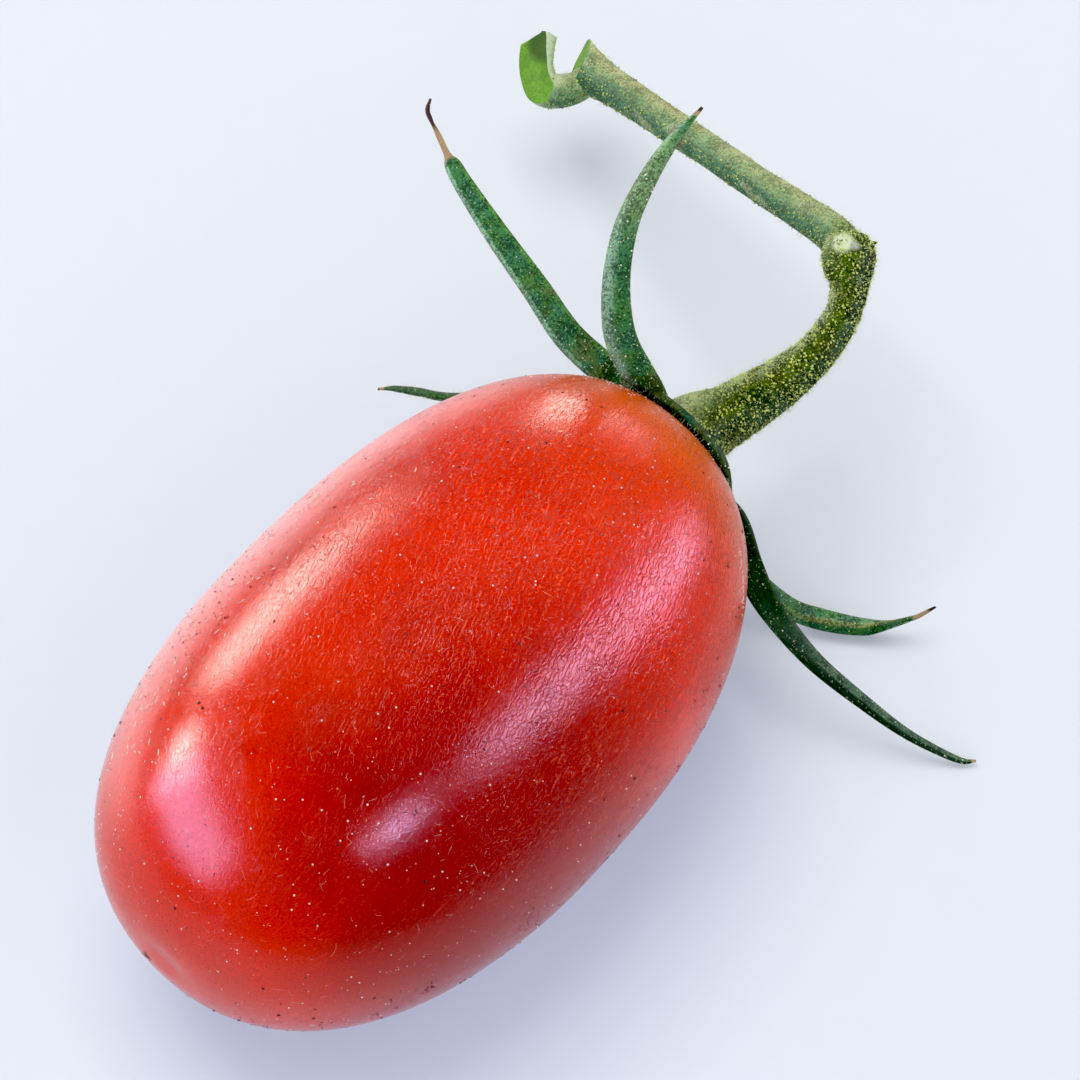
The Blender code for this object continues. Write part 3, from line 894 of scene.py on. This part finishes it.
def straight_tube(sides, stations):
    """A closed tube of radius 1 that stands on the origin, 1 high, with rings all the way up."""
    bm = bmesh.new()
    bmesh.ops.create_cone(
        bm,
        cap_ends=True,
        segments=sides,
        radius1=1,
        radius2=1,
        depth=1,
        matrix=Matrix.Translation((0, 0, 0.5)),
    )
    uprights = [edge for edge in bm.edges if abs(edge.verts[0].co.z - edge.verts[1].co.z) > 0.5]
    bmesh.ops.subdivide_edges(bm, edges=uprights, cuts=stations - 1, use_grid_fill=True)
    return bm


def add_mesh(bm, part):
    """Add a part to a mesh and free it."""
    mesh = bpy.data.meshes.new("part")
    part.to_mesh(mesh)
    part.free()
    bm.from_mesh(mesh)
    bpy.data.meshes.remove(mesh)


def add_fibre(bm, point, normal, along, length, bend, radius):
    """A short bent fibre that lies on the skin."""
    fibre = straight_tube(4, 7)
    side = normal.cross(along).normalized()
    for vert in fibre.verts:
        share = vert.co.z - 0.5
        thin = radius * (1 - (2 * share) ** 4 * 0.6)
        curve = along * (share * length) + side * (bend * length * (share * share - 0.08))
        lift = normal * (radius * 0.9 + length * 0.05 * share * share)
        vert.co = point + curve + lift + side * (vert.co.x * thin) + normal * (vert.co.y * thin)
    add_mesh(bm, fibre)


class TOMATO_OT_dirt(bpy.types.Operator):
    """Scatter dark specks, pale dust and lint over the skin"""

    bl_idname = "tomato.dirt"
    bl_label = "Scatter Specks and Lint"

    def execute(self, context):
        given = context.scene.tomato_skin
        draw = random.Random(11)
        specks = []
        for _ in range(given.speck_count):
            turn = math.acos(draw.uniform(-0.98, 0.9))
            low = draw.random() < 0.55
            angle = draw.gauss(math.radians(238), 0.55) if low else draw.uniform(0.1, math.tau)
            point, normal, _ = skin_point(given, turn, angle)
            size = draw.choice((0.04, 0.05, 0.06, 0.085)) * MM * draw.uniform(0.7, 1.3)
            if point.z > 0.6 * MM:
                sizes = (size, size * draw.uniform(0.6, 1), size * 0.5)
                specks.append((point, normal, draw.uniform(0, 6), sizes))
        dust = []
        for _ in range(given.dust_count):
            turn = math.acos(draw.uniform(-0.99, 0.97))
            point, normal, _ = skin_point(given, turn, draw.uniform(0, math.tau))
            size = draw.choice((0.03, 0.035, 0.04, 0.062)) * MM
            if point.z > 0.6 * MM:
                dust.append((point, normal, draw.uniform(0, 6), (size, size, size * 0.6)))
        for _ in range(90):
            turn = math.acos(draw.uniform(0.84, 0.98))
            point, normal, _ = skin_point(given, turn, math.radians(draw.gauss(58, 22)))
            size = draw.choice((0.04, 0.05, 0.062)) * MM
            dust.append((point, normal, draw.uniform(0, 6), (size, size, size * 0.6)))
        for _ in range(60):
            share = draw.random()
            turn = 0.72 + 0.15 * share + draw.gauss(0, 0.006)
            point, normal, _ = skin_point(given, turn, 2.68 + 0.36 * share + draw.gauss(0, 0.012))
            size = draw.uniform(0.03, 0.055) * MM
            dust.append((point, normal, draw.uniform(0, 6), (size, size, size * 0.6)))
        for _ in range(150):
            turn = draw.uniform(1.35, 2.35)
            point, normal, _ = skin_point(given, turn, draw.gauss(0.72, 0.16))
            sizes = (draw.uniform(0.08, 0.28) * MM, draw.uniform(0.03, 0.05) * MM, 0.03 * MM)
            dust.append((point, normal, draw.gauss(RIM_LINT_TURN, 0.5), sizes))
        lint = []
        for _ in range(given.lint_count):
            turn = math.acos(draw.uniform(-0.97, 0.93))
            point, normal, down = skin_point(given, turn, draw.uniform(0.2, math.tau))
            if point.z < 1.5 * MM:
                continue
            way = Matrix.Rotation(draw.uniform(0, math.tau), 3, normal) @ down
            length = draw.uniform(0.3, 1.0) * draw.choice((1, 1, 1.5)) * MM
            bend = draw.uniform(-0.9, 0.9)
            lint.append((point, normal, way, length, bend, draw.uniform(0.018, 0.030) * MM))
        for _ in range(110):
            turn = math.acos(draw.uniform(-0.55, 0.15))
            point, normal, down = skin_point(given, turn, math.radians(draw.gauss(42, 11)))
            way = Matrix.Rotation(draw.gauss(0, 0.5), 3, normal) @ down
            thick = draw.uniform(0.02, 0.032) * MM
            lint.append((point, normal, way, draw.uniform(0.25, 0.8) * MM, draw.uniform(-0.6, 0.6), thick))
            point, normal, _ = skin_point(given, turn, math.radians(draw.gauss(38, 14)))
            size = draw.uniform(0.035, 0.06) * MM
            specks.append((point, normal, 0, (size, size, size * 0.5)))
        for turn, angle, spread, count in DIRT_CLUSTERS:
            for _ in range(count):
                shift = draw.gauss(0, spread) / 13, draw.gauss(0, spread) / 13
                point, normal, _ = skin_point(given, turn + shift[0] * 0.7, angle + shift[1])
                size = draw.uniform(0.035, 0.075) * MM
                specks.append((point, normal, draw.uniform(0, 6), (size, size * 0.7, size * 0.5)))
        point, normal, down = skin_point(given, *SCAR_PLACE)
        scar = bmesh.new()
        add_grain(scar, point - normal * 0.012 * MM, normal, 0.4, (0.24 * MM, 0.17 * MM, 0.03 * MM))
        side = normal.cross(down)
        for along, across, size in SCAR_CRUMBS:
            place = point + (down * along + side * across - normal * 0.03) * MM
            add_grain(scar, place, normal, 0, (size * MM, size * 0.7 * MM, 0.035 * MM))
        for vert in scar.verts:
            vert.co.x = max(vert.co.x, SCAR_LIMIT * MM)
        new_piece("blossom_scar", scar, [grain_material("scar", given.speck, 0.8, 0.5)])
        new_piece(
            "skin_specks",
            scatter_shapes(specks, add_grain),
            [grain_material("dirt", given.speck, 0.8, 0.5)],
        )
        new_piece(
            "skin_dust",
            scatter_shapes(dust, add_grain),
            [grain_material("dust", given.dust, 0.8, 0.35)],
        )
        new_piece(
            "skin_lint",
            scatter_shapes(lint, add_fibre),
            [grain_material("lint", given.lint, 0.7, 0.3)],
        )
        return {"FINISHED"}


def disc_lobes(angle):
    """How much further the disc reaches at an angle, with a lobe at each sepal's root."""
    rise = 0
    for root in ROOT_ANGLES.values():
        away = math.remainder(angle - math.radians(root), math.tau)
        rise += math.exp(-((away / DISC_LOBE_WIDTH) ** 2))
    return 1 + DISC_LOBE_RISE * rise


def build_disc(skin):
    """The calyx's disc, which follows the fruit's shoulder and has a flat seat for the stalk."""
    steps = 20
    radii = [DISC_RADIUS * step / steps for step in range(steps + 1)]
    under = [(shoulder_x(skin, radius) + DISC_GAP, radius) for radius in radii]
    seat_x = max(x for x, _ in under) + DISC_SEAT_THICKNESS
    upper = []
    for x, radius in under:
        ease = eased((radius - DISC_SEAT_RADIUS) / (DISC_RADIUS - DISC_SEAT_RADIUS))
        upper.append((seat_x * (1 - ease) + (x + DISC_RIM_THICKNESS) * ease, radius))
    middle_x = (under[-1][0] + upper[-1][0]) / 2
    rim = [(middle_x, DISC_RADIUS + DISC_RIM_BULGE)]
    bm = bmesh.new()
    spin_profile(bm, under + rim + upper[::-1], 108)
    for vert in bm.verts:
        radius = math.hypot(vert.co.y, vert.co.z)
        angle = math.atan2(vert.co.z, vert.co.y)
        share = min(1, radius / DISC_RADIUS) ** 3
        reach = 1 + (disc_lobes(angle) - 1) * share
        vert.co.x += shoulder_x(skin, radius * reach) - shoulder_x(skin, radius)
        vert.co.y *= reach
        vert.co.z *= reach
        vert.co.y += skin.bow / MM * (vert.co.x / (skin.length / 2 / MM)) ** 2
        vert.co.z += AXIS_HEIGHT / MM
    return bm


def sepal_point(given, width, fold, across, layer):
    """A point of a blade's section: across it and out of it, in millimetres."""
    angle = math.copysign(min(abs(fold), width / TIGHTEST_FOLD), fold)
    if abs(angle) < 0.02:
        angle = 0.02
    radius = width / angle
    turn = across * angle / 2
    rise = radius * (1 - math.cos(turn)) - radius * (1 - math.cos(angle / 2)) / 2
    half = min(given.thickness / MM, width * 0.5) / 2
    thin = half * (given.edge + (1 - given.edge) * math.sqrt(max(0, 1 - across * across)))
    normal = Vector((-math.sin(turn), math.cos(turn)))
    return Vector((radius * math.sin(turn), rise)) + normal * (thin * layer)


def sepal_frames(shape, root_angle, stations):
    """The blade's rows, with its way across and out at each."""
    route = smooth_route(shape["points"], stations)
    ways = directions(route)
    turn = math.radians(root_angle)
    round_disc = Vector((0, -math.sin(turn), math.cos(turn)))
    across = Vector(shape["across"])
    if round_disc.dot(across) < 0:
        round_disc.negate()
    travelled = 0
    frames = []
    for index, (row, way) in enumerate(zip(route, ways)):
        if index:
            travelled += (row.xyz - route[index - 1].xyz).length
        share = index / (stations - 1)
        ease = eased(travelled / SEPAL_TWIST_LENGTH)
        side = round_disc.lerp(across, ease)
        side = (side - way * side.dot(way)).normalized()
        curl = math.radians(shape["curl"]) * eased((share - 0.72) / 0.28)
        side = Matrix.Rotation(curl, 3, way) @ side
        frames.append((row, side, side.cross(way), max(ease, FLATTEST_FOLD)))
    return frames


def add_sepal(bm, given, name):
    """One long narrow sepal: a grid given thickness and laid along its route."""
    shape = SEPALS[name]
    stations = given.stations
    made = bmesh.ops.create_grid(bm, x_segments=given.columns, y_segments=stations, size=1)
    faces = list({face for vert in made["verts"] for face in vert.link_faces})
    grown = bmesh.ops.extrude_face_region(bm, geom=faces, use_keep_orig=True)
    raised = [item for item in grown["geom"] if isinstance(item, bmesh.types.BMVert)]
    bmesh.ops.translate(bm, vec=(0, 0, 1), verts=raised)
    frames = sepal_frames(shape, ROOT_ANGLES[name], stations + 1)
    blade = bm.loops.layers.uv["blade"]
    dry = bm.verts.layers.float["dry"]
    unshaded = bm.verts.layers.float["unshaded"]
    flank = bm.verts.layers.float["flank"]
    verts = made["verts"] + raised
    for face in {face for vert in verts for face in vert.link_faces}:
        for loop in face.loops:
            co = loop.vert.co
            loop[blade].uv = (co.x / 2 + 0.5, co.y / 2 + 0.5)
    seed = len(name) * 7.3
    for vert in verts:
        share = (vert.co.y + 1) / 2
        row, side, out, ease = frames[round(share * stations)]
        layer = 2 * vert.co.z - 1
        fold = math.radians(shape["fold"]) * ease
        point = sepal_point(given, row.w, fold, vert.co.x, layer)
        rough = noise.noise(Vector((vert.co.x * 2.2, share * 9, layer + seed)))
        wave = noise.noise(Vector((0, share * 6, seed))) * 0.06 * row.w
        start, end = shape["dry"]
        vert[dry] = max(0, min(1, (share - start) / (end - start)))
        point.y += (rough * (0.035 + 0.06 * vert[dry]) + wave) * eased(share * 6)
        vert[unshaded] = shape["unshaded"][0] + (shape["unshaded"][1] - shape["unshaded"][0]) * share
        vert[flank] = shape["flank"]
        vert.co = row.xyz + side * point.x + out * point.y


class TOMATO_OT_calyx(bpy.types.Operator):
    """Build the calyx's disc and its five sepals in place of the plain solid"""

    bl_idname = "tomato.calyx"
    bl_label = "Build Calyx"

    def execute(self, context):
        given = context.scene.tomato_calyx
        disc = build_disc(context.scene.tomato_skin)
        disc.loops.layers.uv.new("blade")
        disc.verts.layers.float.new("dry")
        unshaded = disc.verts.layers.float.new("unshaded")
        # The disc is painted with a little shade.
        for vert in disc.verts:
            vert[unshaded] = 0.6
        disc.verts.layers.float.new("flank")
        blade = disc.loops.layers.uv["blade"]
        for face in disc.faces:
            for loop in face.loops:
                loop[blade].uv = (0.3, 0)
        for name in SEPALS:
            add_sepal(disc, given, name)
        bmesh.ops.recalc_face_normals(disc, faces=disc.faces)
        bmesh.ops.scale(disc, vec=(MM, MM, MM), verts=disc.verts)
        fuzz = bpy.data.node_groups.get("fine_fuzz") or fine_fuzz_group()
        material = leaf_material(given, fuzz, given.gland)
        new_piece("calyx_leaves", disc, [material], "calyx")
        return {"FINISHED"}


def add_tube(bm, points, stations, sides, start_way=None, cuts=(), rough=0.03, seed=0):
    """A round stem of changing thickness, with small ridges. Each cut slices its far end."""
    route = smooth_route(points, stations + 1)
    ways = directions(route)
    if start_way:
        for index, row in enumerate(route):
            share = min(1, (row.xyz - route[0].xyz).length / SQUARE_START)
            ways[index] = Vector(start_way).lerp(ways[index], share * share).normalized()
    frames = []
    side = ways[0].orthogonal().normalized()
    for row, way in zip(route, ways):
        side = (side - way * side.dot(way)).normalized()
        frames.append((row, side, way.cross(side)))
    tube = straight_tube(sides, stations)
    for vert in tube.verts:
        share = vert.co.z
        row, side, up = frames[round(share * stations)]
        flat = Vector((vert.co.x, vert.co.y, 0))
        ridge = noise.noise(flat * 2.3 + Vector((seed, 0, share * stations * 0.012)))
        knob = noise.noise(flat * 1.4 + Vector((0, seed, share * stations * 0.09)))
        reach = row.w * (1 + rough * (ridge * 1.2 + knob * 0.9))
        vert.co = row.xyz + (side * flat.x + up * flat.y) * reach
    for place, way in cuts:
        found = bmesh.ops.bisect_plane(
            tube,
            geom=tube.verts[:] + tube.edges[:] + tube.faces[:],
            plane_co=place,
            plane_no=Vector(way).normalized(),
            dist=0.001,
            clear_outer=True,
        )
        rim = [item for item in found["geom_cut"] if isinstance(item, bmesh.types.BMEdge)]
        face = bmesh.ops.contextual_create(tube, geom=rim)["faces"][0]
        face.material_index = 1
        inner = bmesh.ops.inset_individual(tube, faces=[face], thickness=0.12, depth=-0.06)
        for ring in inner["faces"]:
            ring.material_index = 1
    add_mesh(bm, tube)


class TOMATO_OT_stalk(bpy.types.Operator):
    """Build the pedicel, knuckle, straight stem and forked end in place of the plain solid"""

    bl_idname = "tomato.stalk"
    bl_label = "Build Stalk"

    def execute(self, context):
        given = context.scene.tomato_stalk
        bm = bmesh.new()
        add_tube(bm, PEDICEL_POINTS, 150, given.sides, start_way=(1, 0, 0), rough=0.045, seed=1)
        add_tube(bm, TRUSS_POINTS, 190, given.sides, cuts=[MAIN_CUT], rough=0.05, seed=5)
        add_tube(bm, LIMB_POINTS, 60, given.sides, cuts=[LIMB_END, LIMB_CUT], rough=0.05, seed=9)
        add_tube(bm, BRACT_POINTS, 12, 12, rough=0.02, seed=3)
        bmesh.ops.recalc_face_normals(bm, faces=bm.faces)
        bmesh.ops.scale(bm, vec=(MM, MM, MM), verts=bm.verts)
        fuzz = bpy.data.node_groups.get("fine_fuzz") or fine_fuzz_group()
        materials = [stem_material(given, fuzz), cut_material(given, fuzz)]
        new_piece("stalk_stem", bm, materials, "stalk")
        return {"FINISHED"}


def scatter_places(piece, count, draw, keep=None):
    """Places spread evenly over a piece, each with the way out there."""
    mesh = piece.data
    mesh.calc_loop_triangles()
    corners = [vert.co for vert in mesh.vertices]
    normals = [vert.normal for vert in mesh.vertices]
    triangles = mesh.loop_triangles
    places = []
    for triangle in draw.choices(triangles, weights=[one.area for one in triangles], k=count):
        first, second = draw.random(), draw.random()
        if first + second > 1:
            first, second = 1 - first, 1 - second
        weights = (1 - first - second, first, second)
        point = sum((corners[i] * w for i, w in zip(triangle.vertices, weights)), Vector())
        normal = sum((normals[i] * w for i, w in zip(triangle.vertices, weights)), Vector())
        if normal.length < 0.3 or (keep and not keep(point)):
            continue
        places.append((point, normal.normalized()))
    return places


def add_hair(bm, point, normal, length, radius):
    """A short tapering hair that stands on the surface."""
    matrix = standing_matrix(point + normal * (length * 0.42), normal)
    bmesh.ops.create_cone(
        bm, cap_ends=True, segments=3, radius1=radius, radius2=radius * 0.35, depth=length, matrix=matrix
    )


def grow_glands(piece, name, count, seed, keep, biggest, material):
    """Gland dots over a piece."""
    draw = random.Random(seed)
    dots = []
    for point, normal in scatter_places(piece, count, draw, keep):
        size = draw.uniform(0.035 * MM, biggest)
        dots.append((point + normal * size * 0.4, normal, 0, (size, size, size)))
    new_piece(name, scatter_shapes(dots, add_grain), [material])


def grow_hairs(piece, name, count, seed, keep, material):
    """Short hairs over a piece."""
    draw = random.Random(seed)
    strands = []
    for point, normal in scatter_places(piece, count, draw, keep):
        lean = Vector([draw.gauss(0, 0.3) for _ in range(3)])
        way = (normal + lean).normalized()
        strands.append((point, way, draw.uniform(0.12, 0.38) * MM, draw.uniform(0.011, 0.018) * MM))
    new_piece(name, scatter_shapes(strands, add_hair), [material], smooth=False)


class TOMATO_OT_fuzz(bpy.types.Operator):
    """Grow gland dots and short hairs on the stalk and the calyx"""

    bl_idname = "tomato.fuzz"
    bl_label = "Grow Glands and Hairs"

    def execute(self, context):
        calyx = context.scene.tomato_calyx
        stalk = context.scene.tomato_stalk
        hairs = grain_material("hair", stalk.hair, 0.6, 0.3)
        draw = random.Random(20)
        low, high = (Vector(corner) for corner in CAD_BOX)
        room = 0.35 * MM

        def inside(point):
            """Whether a hair that stands here stays within the part's own box."""
            return all(low[i] + room < point[i] < high[i] - room for i in range(3))

        def off_cuts(point):
            """Leave the cut ends bare."""
            for place, way in (MAIN_CUT, LIMB_CUT):
                if abs((point / MM - Vector(place)).dot(Vector(way).normalized())) < 0.12:
                    return False
            return inside(point)

        def mostly_pedicel(point):
            """Keep most glands on the pedicel and few on the straight stem."""
            return off_cuts(point) and (point.y < 0.5 * MM or draw.random() < 0.25)

        def mostly_upright(point):
            """Keep most pale glands on the upright sepal and by the sepals' roots."""
            upright = point.z > 15 * MM and point.y < 8 * MM
            return inside(point) and (upright or draw.random() < 0.12)

        stem = bpy.data.objects["stalk_stem"]
        glands = grain_material("gland", stalk.gland, 0.5, 0.65)
        grow_glands(stem, "stalk_glands", stalk.gland_count, 21, mostly_pedicel, 0.078 * MM, glands)
        grow_hairs(stem, "stalk_hairs", stalk.hair_count, 23, mostly_pedicel, hairs)
        leaves = bpy.data.objects["calyx_leaves"]
        pale = grain_material("pale_gland", calyx.gland, 0.5, 0.3)
        grow_glands(leaves, "calyx_glands", calyx.gland_count, 22, mostly_upright, 0.065 * MM, pale)
        grow_hairs(leaves, "calyx_hairs", calyx.hair_count, 24, inside, hairs)
        return {"FINISHED"}


def add_softbox(name, azimuth, elevation, wide, high, strength, colour, roll=0, seen_as="gloss"):
    """A softbox as seen from the fruit: where it stands and its width and height, in degrees.

    One kind shows only as gloss on the skin, the other only lights the floor and the surfaces.
    """
    distance = 0.6
    turn = math.radians(azimuth)
    rise = math.radians(elevation)
    way = Vector((math.sin(turn) * math.cos(rise), -math.cos(turn) * math.cos(rise), math.sin(rise)))
    lamp = bpy.data.lights.new(name, "AREA")
    lamp.shape = "RECTANGLE"
    lamp.size = 2 * distance * math.tan(math.radians(wide / 2))
    lamp.size_y = 2 * distance * math.tan(math.radians(high / 2))
    lamp.energy = strength * math.pi * lamp.size * lamp.size_y
    lamp.color = colour
    holder = bpy.data.objects.new(name, lamp)
    holder.location = way * distance + Vector((0, 0, AXIS_HEIGHT))
    facing = way.to_track_quat("Z", "Y").to_matrix() @ Matrix.Rotation(math.radians(roll), 3, "Z")
    holder.rotation_euler = facing.to_euler()
    holder.visible_glossy = seen_as == "gloss"
    holder.visible_diffuse = seen_as != "gloss"
    bpy.context.scene.collection.objects.link(holder)


# Softboxes: azimuth, elevation, width, height in degrees, strength, colour, roll and kind
SOFTBOXES = {
    "overhead": (165, 76, 36, 36, 3.7, (1.0, 0.98, 0.95), 0, "light"),
    "far_light": (172, 28, 60, 30, 0.75, (1.0, 0.96, 0.90), 0, "light"),
    "right_light": (25, 36, 80, 40, 0.75, (0.86, 0.91, 1.0), 0, "light"),
    "near_light": (-55, 30, 90, 40, 0.65, (0.84, 0.90, 1.0), 0, "light"),
    "far_window": (170, 18, 26, 17, 17.0, (1.0, 0.88, 0.80), 0, "gloss"),
    "far_window_end": (202, 20, 11, 11, 32.0, (1.0, 0.90, 0.86), 0, "gloss"),
    "left_window": (-120, 25, 44, 25, 9.8, (0.58, 0.58, 1.0), 0, "gloss"),
    "left_window_edge": (-148, 20, 6, 26, 22.0, (0.80, 0.66, 1.0), 0, "gloss"),
    "right_window": (45, 17, 68, 13, 15.0, (0.86, 0.64, 1.0), -42, "gloss"),
    "front_slit": (-16, 39, 14, 1.5, 130.0, (0.80, 0.60, 1.0), 0, "gloss"),
    "stem_window": (121, 3, 14, 10, 22.0, (1.0, 0.90, 0.80), 0, "gloss"),
    "stem_window_end": (103, 5, 12, 5, 9.0, (1.0, 0.72, 0.90), 0, "gloss"),
}


class TOMATO_OT_stage(bpy.types.Operator):
    """Set the camera, the floor and the soft light"""

    bl_idname = "tomato.stage"
    bl_label = "Set Stage"

    def execute(self, context):
        given = context.scene.tomato_stage
        turn = math.radians(CAMERA_AZIMUTH)
        rise = math.radians(CAMERA_ELEVATION)
        back = Vector((math.sin(turn) * math.cos(rise), -math.cos(turn) * math.cos(rise), math.sin(rise)))
        lens = bpy.data.cameras.new("camera")
        lens.lens = CAMERA_LENS
        lens.sensor_width = 36
        lens.clip_start = 0.01
        lens.clip_end = 20
        camera = bpy.data.objects.new("camera", lens)
        camera.location = (Vector(CAMERA_AIM) + back * CAMERA_DISTANCE) * MM
        camera.rotation_euler = back.to_track_quat("Z", "Y").to_euler()
        context.scene.collection.objects.link(camera)
        context.scene.camera = camera
        bm = bmesh.new()
        bmesh.ops.create_grid(bm, x_segments=2, y_segments=2, size=1.5)
        mesh = bpy.data.meshes.new("floor")
        bm.to_mesh(mesh)
        bm.free()
        floor = bpy.data.objects.new("floor", mesh)
        context.scene.collection.objects.link(floor)
        material, wires, shader = new_material("floor_paper")
        place = wires.millimetres()
        darker = [part * 0.985 for part in given.floor]
        paper = wires.mix(wires.noise(place, 0.5, 3.0), darker, given.floor)
        split = wires.add("SeparateXYZ", {"Vector": place}).outputs
        # Painted reflection: gloss rays see the floor turn dark far from the fruit and see a painted glow near (8,
        # 100) mm in the bright colour, which stands in for a sunlit floor; camera rays see the plain floor.
        reach = wires.add("VectorMath", {"Vector": place}, operation="LENGTH").outputs["Value"]
        left = wires.math("SUBTRACT", wires.math("MULTIPLY", split["Y"], 0.45), wires.math("MULTIPLY", split["X"], 0.39))
        mirrored = wires.add("LightPath").outputs["Is Glossy Ray"]
        dim = wires.math("MULTIPLY", mirrored, wires.remap(wires.math("SUBTRACT", reach, left), 40.0, 110.0))
        wires.feed(shader.inputs["Base Color"], wires.mix(dim, paper, (0.08, 0.08, 0.09)))
        bright = wires.math("MULTIPLY", mirrored, wires.near(place, (8.0, 100.0, 0.0), 55.0, 86.0))
        wires.feed(shader.inputs["Emission Color"], wires.mix(bright, (0, 0, 0), given.bright))
        set_shader(shader, Roughness=0.9, Specular_IOR_Level=0.2, Emission_Strength=1.9)
        mesh.materials.append(material)
        world = bpy.data.worlds.new("studio")
        world.use_nodes = True
        wires = Wiring(world.node_tree)
        background = world.node_tree.nodes["Background"]
        background.inputs["Strength"].default_value = given.sky_strength
        mirrored = wires.add("LightPath").outputs["Is Glossy Ray"]
        wires.feed(background.inputs["Color"], wires.mix(mirrored, given.sky, (0.10, 0.09, 0.09)))
        context.scene.world = world
        for name, values in SOFTBOXES.items():
            add_softbox(name, *values)
        view = context.scene.view_settings
        view.view_transform = "Standard"
        view.use_curve_mapping = True
        view.curve_mapping.black_level = [given.black_level] * 3
        view.curve_mapping.update()
        return {"FINISHED"}


SETTINGS = {
    "tomato_skin": SkinSettings,
    "tomato_calyx": CalyxSettings,
    "tomato_stalk": StalkSettings,
    "tomato_stage": StageSettings,
}
OPERATORS = (
    TOMATO_OT_stage,
    TOMATO_OT_skin,
    TOMATO_OT_dirt,
    TOMATO_OT_calyx,
    TOMATO_OT_stalk,
    TOMATO_OT_fuzz,
)


class TOMATO_PT_panel(bpy.types.Panel):
    """Sizes, colours and the operators that build each group of pieces"""

    bl_label = "Plum Tomato"
    bl_space_type = "VIEW_3D"
    bl_region_type = "UI"
    bl_category = "Tomato"

    def draw(self, context):
        for operator in OPERATORS:
            self.layout.operator(operator.bl_idname)
        for name, kind in SETTINGS.items():
            box = self.layout.box()
            box.label(text=kind.__doc__)
            for key in kind.__annotations__:
                box.prop(getattr(context.scene, name), key)


def register():
    """Register the settings, the operators and the panel."""
    for name, kind in SETTINGS.items():
        bpy.utils.register_class(kind)
        setattr(bpy.types.Scene, name, bpy.props.PointerProperty(type=kind))
    for kind in (*OPERATORS, TOMATO_PT_panel):
        bpy.utils.register_class(kind)


def unregister():
    """Take away what register() added."""
    for kind in (TOMATO_PT_panel, *reversed(OPERATORS)):
        bpy.utils.unregister_class(kind)
    for name, kind in SETTINGS.items():
        delattr(bpy.types.Scene, name)
        bpy.utils.unregister_class(kind)


def main():
    """Build every piece in order."""
    register()
    bpy.ops.tomato.stage()
    bpy.ops.tomato.skin()
    bpy.ops.tomato.dirt()
    bpy.ops.tomato.calyx()
    bpy.ops.tomato.stalk()
    bpy.ops.tomato.fuzz()


if __name__ == "__main__":
    main()
